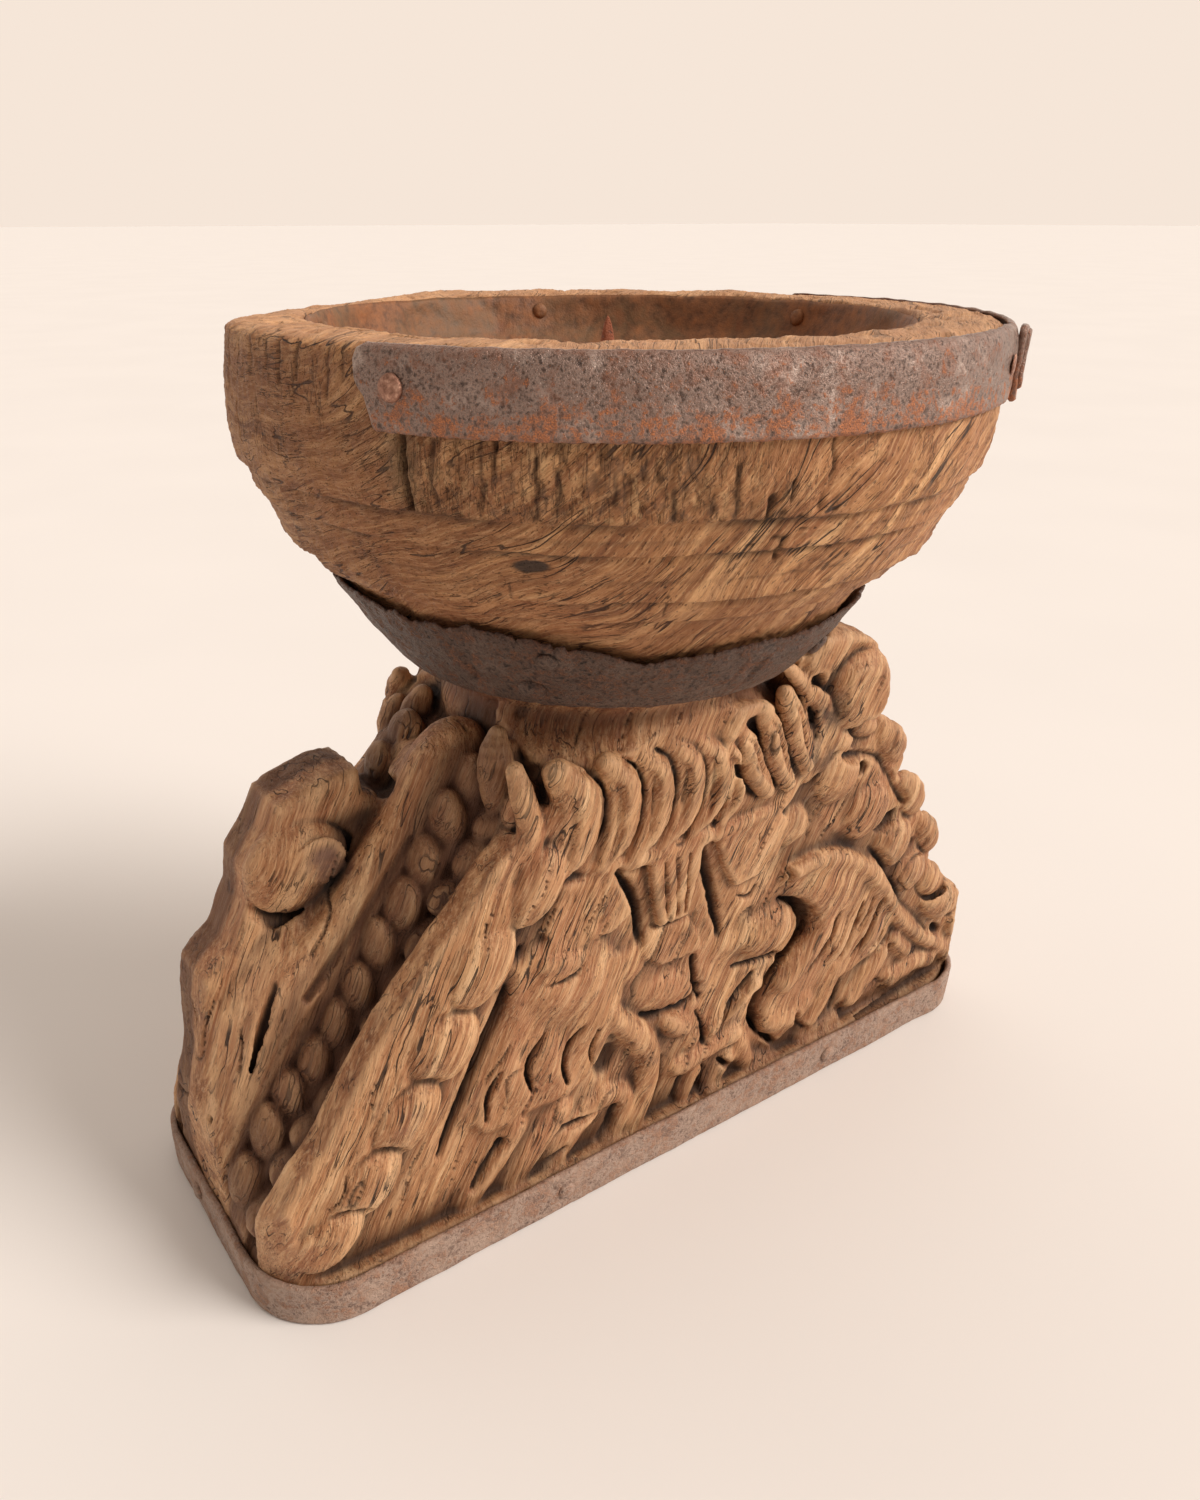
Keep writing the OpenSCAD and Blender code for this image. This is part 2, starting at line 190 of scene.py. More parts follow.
def apply(fn, lo, hi, k, cut=False):
    pad = k + 2.5
    s, X, Y, Z = sub(np.array(lo) - pad, np.array(hi) + pad)
    f = fn(X, Y, Z).astype(F32)
    if cut:
        VOL[s] = -smin(-VOL[s], f, k)
    else:
        VOL[s] = smin(VOL[s], f, k)


def d_seg(X, Y, Z, a, b, ra, rb):
    d = [b[i] - a[i] for i in range(3)]
    L = max(d[0] ** 2 + d[1] ** 2 + d[2] ** 2, 1e-6)
    t = np.clip(((X - a[0]) * d[0] + (Y - a[1]) * d[1] + (Z - a[2]) * d[2]) / L, 0, 1)
    return np.sqrt((X - a[0] - t * d[0]) ** 2 + (Y - a[1] - t * d[1]) ** 2 + (Z - a[2] - t * d[2]) ** 2) - (ra + (rb - ra) * t)


def crom(P, n=3):
    """More points along a smooth curve through P."""
    if len(P) < 3:
        return P
    Q = np.vstack([2 * P[0] - P[1], P, 2 * P[-1] - P[-2]])
    out = []
    for i in range(1, len(Q) - 2):
        a, b, c, d = Q[i - 1:i + 3]
        for j in range(n):
            t = j / n
            v = 0.5 * (2 * b + (c - a) * t + (2 * a - 5 * b + 4 * c - d) * t * t + (3 * b - a - 3 * c + d) * t ** 3)
            lo_, hi_ = np.minimum(b, c), np.maximum(b, c)
            v[-1] = np.clip(v[-1], lo_[-1], hi_[-1])
            out.append(v)
    out.append(P[-1])
    return np.array(out)


def chain(pts, k=1.0, cut=False, flat=1.0):
    """pts: (x, y, z, r) along a bar; flat is not used."""
    P = crom(np.array(pts, float))
    lo = P[:, :3].min(0) - P[:, 3].max()
    hi = P[:, :3].max(0) + P[:, 3].max()

    def fn(X, Y, Z):
        out = None
        for a, b in zip(P[:-1], P[1:]):
            f = d_seg(X, Y, Z, a[:3], b[:3], a[3], b[3])
            out = f if out is None else np.minimum(out, f)
        return out
    apply(fn, lo, hi, k, cut)


def d_ell(X, Y, Z, c, r, ang=0.0, tilt=0.0):
    """Ellipsoid turned by ang in the XZ plane."""
    ca, sa = math.cos(ang), math.sin(ang)
    x = (X - c[0]) * ca + (Z - c[2]) * sa
    z = -(X - c[0]) * sa + (Z - c[2]) * ca
    y = Y - c[1] + tilt * x
    k0 = np.sqrt((x / r[0]) ** 2 + (y / r[1]) ** 2 + (z / r[2]) ** 2)
    k1 = np.sqrt((x / r[0] ** 2) ** 2 + (y / r[1] ** 2) ** 2 + (z / r[2] ** 2) ** 2)
    return k0 * (k0 - 1) / np.maximum(k1, 1e-6)


def ell(c, r, ang=0.0, k=0.8, cut=False, tilt=0.0):
    m = max(r)
    apply(lambda X, Y, Z: d_ell(X, Y, Z, c, r, math.radians(ang), tilt), np.array(c) - m, np.array(c) + m, k, cut)


def poly2(X, Z, pts):
    """Signed distance to a polygon, X (n,1,1) and Z (1,1,m)."""
    P = np.array(pts, float)
    x, z = np.broadcast_arrays(X, Z)
    x = x[:, 0, :].astype(float)
    z = z[:, 0, :].astype(float)
    d = np.full(x.shape, 1e9)
    s = np.ones(x.shape)
    for i in range(len(P)):
        a, b = P[i], P[i - 1]
        e = b - a
        wx, wz = x - a[0], z - a[1]
        t = np.clip((wx * e[0] + wz * e[1]) / (e @ e), 0, 1)
        d = np.minimum(d, (wx - e[0] * t) ** 2 + (wz - e[1] * t) ** 2)
        c1, c2, c3 = z >= a[1], z < b[1], e[0] * wz > e[1] * wx
        flip = (c1 & c2 & c3) | (~c1 & ~c2 & ~c3)
        s = np.where(flip, -s, s)
    return (s * np.sqrt(d))[:, None, :]


def slab(pts, y0, y1, k=1.0, rnd=1.5, cut=False, lean=None):
    """A polygon in XZ between y0 and y1 with rounded edges. lean(X, Z) shifts it in Y."""
    P = np.array(pts, float)
    y0, y1 = min(y0, y1), max(y0, y1)
    yc, t = (y0 + y1) / 2, (y1 - y0) / 2
    m = 0 if lean is None else 8

    def fn(X, Y, Z):
        q1 = poly2(X, Z, pts) + rnd
        yy = Y if lean is None else Y - lean(X, Z)
        q2 = np.abs(yy - yc) - t + rnd
        return np.minimum(np.maximum(q1, q2), 0) + np.sqrt(np.maximum(q1, 0) ** 2 + np.maximum(q2, 0) ** 2) - rnd
    apply(fn, (P[:, 0].min(), y0 - m, P[:, 1].min()), (P[:, 0].max(), y1 + m, P[:, 1].max()), k, cut)


def lathe(prof, k=1.0, cut=False):
    """Body of revolution about Z from (z, r) pairs."""
    pz = np.array([q[0] for q in prof], float)
    pr = np.array([q[1] for q in prof], float)

    def fn(X, Y, Z):
        R = np.sqrt(X ** 2 + Y ** 2)
        w = np.interp(Z.ravel(), pz, pr)[None, None, :]
        return np.maximum(R - w, np.maximum(pz[0] - Z, Z - pz[-1]))
    m = pr.max()
    apply(fn, (-m, -m, pz[0]), (m, m, pz[-1]), k, cut)


def bead(x, z, a, b, ang, side=-1, top=50.0, h=5.0, moat=1.3):
    """A raised oval on the front (side -1) or back (side 1) with a groove round it."""
    y = side * (top - h)
    ell((x, side * (top - h * 0.3), z), (a + moat, h * 0.75, b + moat), ang, k=1.0, cut=True)
    ell((x, y, z), (a, h, b), ang, k=0.7)


def stroke(pts, r=2.0, side=-1, top=49.0, depth=None, k=0.6, sharp=1.35):
    """A groove carved from the face: pts (x, z[, half width]), deepest along its middle."""
    Q = np.array([(p[0], p[1], p[2] if len(p) > 2 else r) for p in pts], float)
    Q = crom(Q)
    dep = Q[:, 2].max() * 1.1 if depth is None else depth
    m = Q[:, 2].max()
    ys = (side * (top + 6), side * (top - dep - 1))

    def fn(X, Y, Z):
        best = None
        for a, b in zip(Q[:-1], Q[1:]):
            dx, dz = b[0] - a[0], b[1] - a[1]
            t = np.clip(((X - a[0]) * dx + (Z - a[1]) * dz) / max(dx * dx + dz * dz, 1e-6), 0, 1)
            d = np.sqrt((X - a[0] - t * dx) ** 2 + (Z - a[1] - t * dz) ** 2)
            w = a[2] + (b[2] - a[2]) * t
            g = (d / w) ** sharp
            dd = dep * (0.35 + 0.65 * w / m)
            f = (top - side * Y - dd * (1 - g)) / np.sqrt(1 + (sharp * dd / w) ** 2)
            best = f if best is None else np.minimum(best, f)
        return best
    apply(fn, (Q[:, 0].min() - m, min(ys), Q[:, 1].min() - m), (Q[:, 0].max() + m, max(ys), Q[:, 1].max() + m), k, cut=True)


def ridge(pts, r=4.0, side=-1, top=49.0, k=2.2):
    """A raised bar on the face; pts (x, z[, r])."""
    chain([(p[0], side * (top - (p[2] if len(p) > 2 else r)), p[1], p[2] if len(p) > 2 else r) for p in pts], k=k)


# the carved body stands a little to the left on its foot
BX = 5.0
FRONT = [(-143, 4), (-143, 17), (-137, 34), (-127, 47), (-119, 55), (-112, 66), (-105, 77), (-98, 86), (-91, 94), (-82, 104), (-74, 112), (-66, 121),
         (-57, 129), (-44, 118), (-30, 110), (0, 108), (34, 112), (37, 140), (38, 158), (44, 164), (53, 165), (61, 163), (70, 158), (75, 152), (77, 145),
         (76, 138), (77, 133), (84, 129), (91, 122), (94, 114), (92, 108), (99, 102), (104, 96), (109, 89), (111, 83), (116, 76), (118, 67), (124, 61),
         (132, 54), (140, 47), (146, 40), (149.5, 33), (149.5, 4)]
BACK = [(-140, 4), (-140, 16), (-132, 28), (-118, 44), (-104, 66), (-90, 86), (-76, 104), (-62, 116), (-52, 126), (-44, 134), (-38, 118), (-20, 110), (0, 108),
        (34, 112), (37, 140), (39, 156), (46, 162), (55, 163), (63, 160), (71, 155), (74, 147), (74, 138), (76, 132), (84, 126), (89, 117), (90, 110), (98, 101),
        (106, 90), (110, 80), (118, 68), (125, 58), (138, 47), (145, 35), (149, 26), (149, 4)]
WALL = [(-143, 4), (-141, 27), (-138, 36), (-133, 57), (-131.4, 74), (-129.6, 83), (-120.8, 91), (-114.5, 103), (-113, 114), (-107, 122), (-102.5, 130), (-92, 134),
        (-84, 135.5), (-78, 135), (-77, 127), (-70, 124), (-60, 136), (-44, 140), (-30, 60), (-30, 4)]
LOW = [(148, 4), (148, 26), (138, 50), (124, 66), (112, 82), (98, 99), (84, 111), (70, 122), (58, 134), (44, 140), (30, 60), (30, 4)]
CORE = [(-139, 4), (-131, 20), (-120, 36), (-108, 50), (-96, 63), (-84, 78), (-72, 94), (-60, 112), (-50, 128), (-44, 142), (44, 142), (52, 128), (62, 112),
        (74, 94), (86, 78), (98, 62), (111, 49), (125, 34), (137, 20), (145, 4)]


def build_block():
    # plinth and core
    def plinth(X, Y, Z):
        qx = np.abs(X - BX) - (142.0 - 23)
        qy = np.abs(Y) - (50.9 - 23)
        d = np.minimum(np.maximum(qx, qy), 0) + np.sqrt(np.maximum(qx, 0) ** 2 + np.maximum(qy, 0) ** 2) - 23
        q2 = np.abs(Z - 6.4) - 6.4 + 1.0
        q1 = d + 1.0
        return np.minimum(np.maximum(q1, q2), 0) + np.sqrt(np.maximum(q1, 0) ** 2 + np.maximum(q2, 0) ** 2) - 1.0
    apply(plinth, (-143 + BX, -52, 0), (143 + BX, 52, 13), 0.5)
    slab(CORE, -38, 38, k=0.5, rnd=4)
    # front and back panels: background planes sunk behind the raised work
    slab(FRONT, -45.6, -34, k=1.0, rnd=2.5)
    slab(BACK, 34, 45.6, k=1.0, rnd=2.5)
    slab(WALL, 3, 26, k=2.0, rnd=3.5)
    slab(LOW, 3, 26, k=2.0, rnd=3.5)
    slab([(-46, 70), (-46, 138), (46, 138), (46, 70)], -36, 36, k=2.0, rnd=4)

    # ribs down the ends
    chain([(-54, -7, 138, 10.5), (-58, -7, 134, 11), (-66, -7, 121, 11), (-78, -7, 107, 10.5), (-91, -7, 92, 10.5), (-105, -7, 79, 10.5), (-117, -6, 63, 11),
           (-127, -5, 42, 11), (-132, -4, 22, 10.5), (-133, -4, 8, 10)], k=2.0)
    chain([(-58, 3, 131, 8), (-70, 4, 117, 9), (-86, 4, 100, 10), (-108, 4, 80, 12), (-122, 4, 60, 12), (-130, 4, 36, 11)], k=3.0)
    chain([(54, -5, 136, 10), (66, -5, 121, 11), (80, -5, 105, 11), (96, -5, 86, 11), (113, -4, 66, 11), (129, -4, 38, 11.5), (136, -4, 12, 11)], k=3.0)
    # long hollows along the left rib
    chain([(-66, -18.4, 126, 1.4), (-84, -18.7, 104, 1.9), (-98, -18.7, 89, 1.8), (-112, -18.0, 72, 1.4)], k=1.4, cut=True)
    chain([(-74, -15.6, 121, 1.2), (-92, -15.8, 99, 1.6), (-108, -15.6, 82, 1.2)], k=1.2, cut=True)
    # edge between ear and rib at the top
    chain([(-79, -6, 137, 3.4), (-73, 0, 131, 3.4), (-70, 6, 127, 3.4), (-68, 16, 127, 4.5), (-66, 27, 128, 5)], k=1.2, cut=True)
    # boss on the ear
    ell((-99.0, 3.0, 108.6), (18.2, 4.0, 15.2), 18, k=0.8, cut=True)
    ell((-99.6, 4.6, 111.4), (15.6, 7.4, 13.6), 18, k=0.6)
    ell((-94.8, -2.2, 114.4), (7.8, 1.5, 7.2), 10, k=0.5)
    # ledges cut in the ear's worn left edge
    for (x0, z0, x1, z1) in ((-137, 90.5, -124.5, 87.5), (-140, 70, -131, 68.0), (-145, 51.5, -137, 44)):
        chain([(x0 + 3, -2, z0, 2.0), ((x0 + x1) / 2 + 2, -5, (z0 + z1) / 2, 1.3), (x1 + 2, -7.0, z1, 0.7)], k=0.6, cut=True)
    chain([(-114, -8, 84, 1.0), (-121, -11, 70, 1.8), (-128, -12, 52, 1.6), (-132, -11, 36, 1.0)], k=1.8, cut=True)

    # channels between rib and front and back ridges, with overlapping scales and long leaves
    for side in (-1, 1):
        for s in (-1, 1):
            slab([(s * 142, 4), (s * 140, 16), (s * 135, 27), (s * 126, 43), (s * 114.5, 58), (s * 102.5, 71), (s * 90.5, 87), (s * 78.5, 104), (s * 66.5, 122), (s * 55.5, 135),
                  (s * 40, 142), (s * 40, 4)], side * 12, side * 26, k=1.5, rnd=2)
            slab([(s * 140, 4), (s * 137, 14), (s * 131, 24), (s * 121.5, 40), (s * 110, 54), (s * 98, 67), (s * 86, 82), (s * 74, 99), (s * 62, 117), (s * 51, 130),
                  (s * 40, 140), (s * 40, 4)], side * 22, side * 38, k=1.5, rnd=2)
            for j in range(11):
                x = 56 + 7.6 * j
                z = float(np.interp(x, [40, 55.5, 66.5, 78.5, 90.5, 102.5, 114.5, 126, 135, 140], [142, 135, 122, 104, 87, 71, 58, 43, 27, 16])) - 1.2
                w = 1.0 + 0.08 * math.sin(2.3 * j)
                ell((s * x, side * (18.0 + 0.6 * (j % 2)), z), (9.8 * w, 7.8, 5.3), s * -(80 + 8 * math.sin(1.7 * j)), k=0.45)
            for j in range(11):
                x = 52 + 7.6 * j
                z = float(np.interp(x, [40, 51, 62, 74, 86, 98, 110, 121.5, 131, 137], [140, 130, 117, 99, 82, 67, 54, 40, 24, 14])) - 0.4
                w = 1.0 + 0.08 * math.sin(1.9 * j + 1)
                ell((s * x, side * (29.6 + 0.5 * (j % 2)), z), (10.2 * w, 7.6, 5.4), s * -(26 + 9 * math.sin(2.1 * j)), k=0.45)

    # front-left ridge with overlapping ovals; the back has one at its left end too
    for side, s in ((-1, -1), (1, -1)):
        e = 0 if side < 0 else 5
        chain([(s * (50 - e), side * 38, 121 - e, 7.5), (s * (60 - e), side * 38.5, 112 - e, 9), (s * (74 - e), side * 39, 95 - e, 10), (s * (90 - e), side * 39, 72 - e, 10.5), (s * (105 - e), side * 39, 52, 10.5),
               (s * (118 - e), side * 38, 33, 10.5), (s * (126 - e), side * 36, 18, 10)], k=1.5)
        chain([(s * (55 - e), side * 40, 124 - e, 2.4), (s * (71 - e), side * 41.5, 106 - e, 2.6), (s * (88 - e), side * 42.5, 85 - e, 2.6), (s * (102 - e), side * 42.5, 67 - e, 2.6),
               (s * (116 - e), side * 42, 46 - e, 2.6), (s * (130 - e), side * 40.5, 28 - e, 2.4)], k=3.0)
        for (x, z, a, b, g) in [(53, 115, 13, 7.0, 58), (71, 95.5, 13.5, 8.6, 52), (83.5, 75, 12, 10.6, 40), (96, 56.5, 13, 9.2, 48), (109.5, 39.5, 13.5, 9.0, 44), (121, 26, 12, 7.6, 36)]:
            bead(s * (x - e), z - e * 0.5, a, b, -s * g, side=side, top=51.4, h=5.6, moat=1.7)
        # fluted flanks each side of the ovals
        stroke([(s * (58 - e), 96, 1.6), (s * (62 - e), 84, 2.8), (s * (71 - e), 66, 3.2), (s * (80 - e), 48, 2.6), (s * (86 - e), 36, 1.4)], side=side, top=47.5, depth=8, k=1.6)
        stroke([(s * (53 - e), 96, 0.8), (s * (57 - e), 78, 1.1), (s * (66 - e), 60, 1.1)], side=side, top=46.5, depth=3, k=0.8)
        stroke([(s * (88 - e), 48, 1.2), (s * (98 - e), 34, 1.6), (s * (108 - e), 22, 1.4)], side=side, top=48.5, k=1.2)

    for side in (-1, 1):
        # right shoulder flange: boss, border strip, beads and outer leaves
        b0 = 2 if side > 0 else 0
        slab([(40, 126), (40, 158), (46, 164), (54, 164.5), (62, 162.5), (70, 157), (75, 150), (76, 142), (75, 134), (66, 129), (54, 122)], side * 34, side * 48.5, k=1.5, rnd=3)
        ell((62.5 - b0, side * 49.5, 145 - b0), (16.5, 4.6, 15.5), 15, k=1.6, cut=True)
        ell((63 - b0, side * 46.5, 144.5 - b0), (13, 6.2, 12.5), 15, k=0.8)
        ell((60 - b0, side * 51.0, 147 - b0), (5.6, 3.6, 6.4), 25, k=1.4)
        ell((67.5 - b0, side * 50.5, 141 - b0), (5.2, 3.4, 6.0), -40, k=1.6)
        stroke([(50.5, 152, 1.8), (49.5, 146, 2.4), (52, 139, 1.8)], side=side, top=49, k=1.2)
        slab([(48, 126), (56, 120), (66, 124), (80, 128), (90, 121), (93, 113), (91, 107), (102, 97), (110, 86), (117, 73), (118, 66), (130, 52), (143, 34), (143, 12),
              (120, 30), (100, 50), (86, 68), (70, 88), (56, 100), (46, 112)], side * 34, side * 46.5, k=1.2, rnd=3)
        ridge([(90, 68, 2.6), (100, 53, 3.0), (112, 40, 3.0), (128, 28, 3.0), (140, 18, 3.0)], side=side, top=48.5)
        for (x, z, a, b, g) in [(59, 116.5, 10.2, 9.6, 20), (76, 99.5, 10.8, 9.8, 30), (91.5, 81.5, 11, 9.0, 35), (104, 67, 9.0, 8.2, 30), (126, 47, 12.5, 7.6, -28), (142, 32, 9.5, 6.5, -34)]:
            bead(x, z, a, b, g, side=side, top=51.0, h=5.6, moat=1.4)
        for (x, z, a, b, g) in [(69, 131, 7.5, 4.4, -22), (84.5, 121, 10, 6, -48), (99.5, 98, 10.5, 6.4, -50), (113, 79, 10, 5.5, -56), (119, 58, 10, 6.5, -42), (133, 44, 8, 5, -48)]:
            bead(x, z, a, b, g, side=side, top=48.5, h=4.2, moat=0.9)
        ell((71, side * 46, 115.5), (3.0, 4, 2.4), 20, k=0.8, cut=True)
        ell((88, side * 47, 92), (6.0, 4.5, 2.6), 25, k=0.8, cut=True)
        ell((104, side * 48, 78.5), (3.0, 3.2, 2.2), 0, k=0.8, cut=True)
        ell((128, side * 47, 34), (4.0, 3.6, 2.2), -40, k=0.8, cut=True)
        stroke([(81, 84, 1.6), (92, 69.5, 2.2), (102, 56.5, 2.2), (113, 46, 2.0), (122, 36, 1.6)], side=side, top=48)
        stroke([(84, 112, 1.6), (92, 101, 2.0), (95, 97, 1.4)], side=side, top=46.5)
        stroke([(60, 124, 1.2), (78, 118, 2.2), (84, 110, 2.0)], side=side, top=47)
        # hollow beside the flange, and its rim towards the neck
        chain([(44, side * 47, 150, 3.6), (47, side * 47, 138, 4.4), (50, side * 46, 128, 3.4)], k=1.5, cut=True)
        ridge([(30, 160, 2.0), (40, 150, 2.2), (50, 139, 2.2), (60, 127, 2.0)], side=side, top=48.2)

        # petals
        slab([(-50, 136), (-52, 129), (-44, 119), (-38, 114), (40, 114), (47, 124), (49, 136), (42, 141), (22, 143.5), (-22, 143.5), (-42, 141)], side * 20, side * 47.4, k=2.5, rnd=4)

        def flare(X, Y, Z):
            rr = np.interp(Z.ravel(), [132, 139, 143.5, 145, 147, 149.5, 152.5, 158], [40, 52, 56, 55, 52, 49, 46.8, 45])[None, None, :]
            f = (np.sqrt(X ** 2 + Y ** 2) - rr) * 0.55
            f = np.maximum(f, side * Y - 47.6)
            return np.maximum(np.maximum(f, np.abs(X - (1 if side < 0 else 3)) - (46.5 if side < 0 else 44.0)), 14 - side * Y)
        apply(flare, (-52, min(side * 12, side * 49), 134), (50, max(side * 12, side * 49), 158), 2.5)
        if side < 0:
            chain([(-54.5, -38, 145, 2.6), (-54, -41.5, 138, 3.6), (-53.5, -44, 129, 3.6), (-57, -44, 119, 2.6)], k=1.0)
            chain([(-52, -26, 150, 2.6), (-54, -28, 143, 5.0), (-55, -30, 135, 4.0), (-54, -32, 128, 2.2)], k=0.6)
            pets = [((-45, 144, 4.6), (-41, 137, 7.0), (-40.5, 129, 7.6), (-43, 122, 5.4), (-47, 117, 2.6)),
                    ((-31, 144, 3.2), (-27, 138, 5.0), (-26, 130, 5.8), (-28, 122, 4.6), (-33, 115, 2.4)),
                    ((-20, 144, 3.0), (-15.5, 138, 4.8), (-14.5, 130, 5.6), (-16.5, 122, 4.6), (-22, 115, 2.4)),
                    ((-9.5, 144, 2.8), (-4.5, 138, 4.6), (-3.2, 130, 5.4), (-5.5, 122, 4.4), (-11, 115, 2.4)),
                    ((0, 143.5, 2.6), (5.5, 137, 4.2), (7, 129, 4.8), (4.5, 122, 3.8), (-1, 115.5, 2.2)),
                    ((9, 140, 1.6), (12, 136, 2.4), (14, 130, 3.2), (13.5, 123, 3.0), (10, 116, 1.8))]
            for n_, p in enumerate(pets):
                chain([(q[0], -51.3 + q[2] + (2.6 if j == 0 else 1.6 if j == 4 else 0.0), q[1], q[2]) for j, q in enumerate(p)], k=0.5)
                # the hollow face of each petal, and the sharp cut along its right edge
                stroke([(p[0][0] - 0.5, p[0][1] - 4, 0.8), (p[1][0] - p[1][2] * 0.5, p[1][1], 1.6), (p[2][0] - p[2][2] * 0.55, p[2][1], 2.0), (p[3][0] - p[3][2] * 0.5, p[3][1], 1.4), (p[4][0] + 0.5, p[4][1] + 2, 0.7)], top=51.8, depth=3.2, k=1.0)
                if n_ < 5:
                    stroke([(p[0][0] + 4.4, p[0][1] + 1, 0.8), (p[1][0] + p[1][2] + 0.9, p[1][1] + 2, 1.1), (p[2][0] + p[2][2] + 0.9, p[2][1], 1.2), (p[3][0] + p[3][2] + 0.9, p[3][1] - 1, 1.1), (p[4][0] + 3.4, p[4][1], 0.8)], top=49.5, depth=6.0, k=0.5)
            ell((26, -48.5, 134), (13, 5.0, 15), 0, k=1.5, cut=True)
            for p in [((14, 144, 2.4), (17.5, 138, 3.8), (21, 130, 4.2), (27, 121, 2.8)), ((23, 147, 2.4), (26.5, 140, 3.8), (30, 131, 4.4), (36, 121, 2.8)), ((32, 150, 2.4), (35, 143, 4.0), (38.5, 134, 4.6), (43, 125, 2.8))]:
                chain([(q[0], -50.6 + q[2] + (1.5 if j == 0 else 0), q[1], q[2]) for j, q in enumerate(p)], k=0.5)
                stroke([(p[0][0] + 1.5, p[0][1] - 3, 0.7), (p[1][0] + 1.6, p[1][1], 1.2), (p[2][0] + 1.8, p[2][1], 1.4), (p[3][0] + 0.8, p[3][1] + 2, 0.7)], top=51.0, depth=2.6, k=0.9)
            ridge([(10, 143, 1.8), (14, 148, 2.4), (20, 149, 2.2), (24, 147, 1.6)], top=50.0)
            # burnt strip beside them
            slab([(43, 150), (50, 146), (56, 132), (52, 122), (44, 118), (41, 124), (47, 133)], -40, -48.6, k=1.0, rnd=1.5)
            # ledge below the petals
            chain([(-53, -42, 129, 2.4), (-44, -44, 120, 2.4), (-36, -45.5, 114.5, 2.4), (-28, -46, 112.5, 2.6), (5, -46.5, 112, 2.8), (30, -46, 112.5, 2.8), (40, -45, 117, 2.6), (48, -43, 126, 2.2)], k=2.0)
        else:
            for j in range(9):
                x = -44 + 11 * j
                chain([(x, 43.5, 143, 3.0), (x * 0.97, 45.6, 136, 5.2), (x * 0.95, 45.6, 125, 5.2), (x * 0.92, 45, 116, 3.0)], k=0.5)
                stroke([(x + 5.4, 143, 0.9), (x * 0.96 + 5.4, 130, 1.1), (x * 0.93 + 5.2, 117, 0.9)], side=1, top=49.5, depth=5.5, k=0.5)
            chain([(-50, 43, 120, 2.4), (-28, 46, 112.5, 2.6), (5, 46.5, 112, 2.8), (30, 46, 112.5, 2.8), (48, 43, 122, 2.4)], k=2.0)

    # small petals seen beside the neck at the ends
    for s in (-1, 1):
        for (x, y, z, a) in [(47, -24, 137, 6.5), (50, -36, 131, 5.5), (47, 24, 137, 6), (49, 36, 131, 5.5)]:
            chain([(s * x, y, z + 6, 3.6), (s * (x + 1.5), y, z, a), (s * (x + 1), y, z - 7, a - 1.6)], k=0.6)

    # ------------- raised figures of the front panel
    def slabf(p, top, k=1.0, rnd=1.8):
        slab(p, -38, -top, k=k, rnd=rnd)
    # fluted block under the petals, blocks beside it and below it
    slabf([(-16, 111), (4, 111), (2, 98), (0, 87), (-11, 87), (-14, 98)], 49)
    for x0, x1 in ((-10.8, -8.4), (-6.2, -4.8), (-1.6, -1.8)):
        stroke([(x0, 109, 0.9), (x1, 89, 0.9)], top=50, depth=2.8, k=0.5)
    slabf([(-46, 113), (-29, 113), (-24, 104), (-20, 95), (-28, 91), (-48, 91), (-52, 100)], 48)
    for x0, x1 in ((-42, -45), (-37, -39), (-33, -33)):
        stroke([(x0, 110, 0.6), (x1, 96, 0.7)], top=49, depth=1.8, k=0.5)
    slabf([(9, 111), (34, 113), (40, 106), (36, 96), (30, 91), (19, 90), (14, 98)], 48.5)
    stroke([(27, 111, 0.6), (26.5, 104, 0.7), (28, 100, 0.5)], top=49.5, depth=1.8, k=0.4)
    stroke([(19, 106, 0.4), (18.5, 97, 0.5)], top=49.5, depth=1.5, k=0.4)
    ell((42, -43, 104), (8, 6.2, 8.5), 25, k=1.0)
    slabf([(-17, 86), (1, 85.5), (7, 77), (8, 71), (-8, 71), (-16, 77)], 47.5)
    slabf([(2, 84), (10, 84), (14, 74), (8, 66), (2, 72)], 45.5)
    stroke([(6, 108, 2.6), (8, 100, 3.6), (12, 88, 3.6), (16.5, 72, 2.4), (17.5, 67, 1.4)], top=49, depth=8, k=1.2)
    stroke([(-27, 111, 1.8), (-20, 100, 3.0), (-17, 90, 2.8), (-17, 80, 1.6)], top=49, depth=8, k=1.2)
    slabf([(19, 90), (38, 90), (41, 80), (33, 76), (20, 80)], 45.5)
    stroke([(22, 85, 1.2), (27, 83, 1.4), (30, 86, 1.2)], top=46.5, depth=2.6, k=0.6)
    slabf([(10, 70), (24, 72), (22, 60), (12, 58)], 45)
    # brow and knob
    ell((-5, -42, 61), (15, 6.0, 8.4), -6, k=1.2)
    stroke([(-22, 58, 1.6), (-10, 52.5, 2.2), (4, 51, 2.2), (10, 56, 1.8)], top=47, depth=5, k=1.0)
    stroke([(6, 68, 1.6), (7, 60, 2.2), (10, 51, 1.6)], top=47, depth=5, k=1.0)
    ell((0, -43, 45), (9, 6.5, 4.8), -38, k=0.8)
    ell((8, -42, 35), (5, 5.0, 4.5), 0, k=0.9)
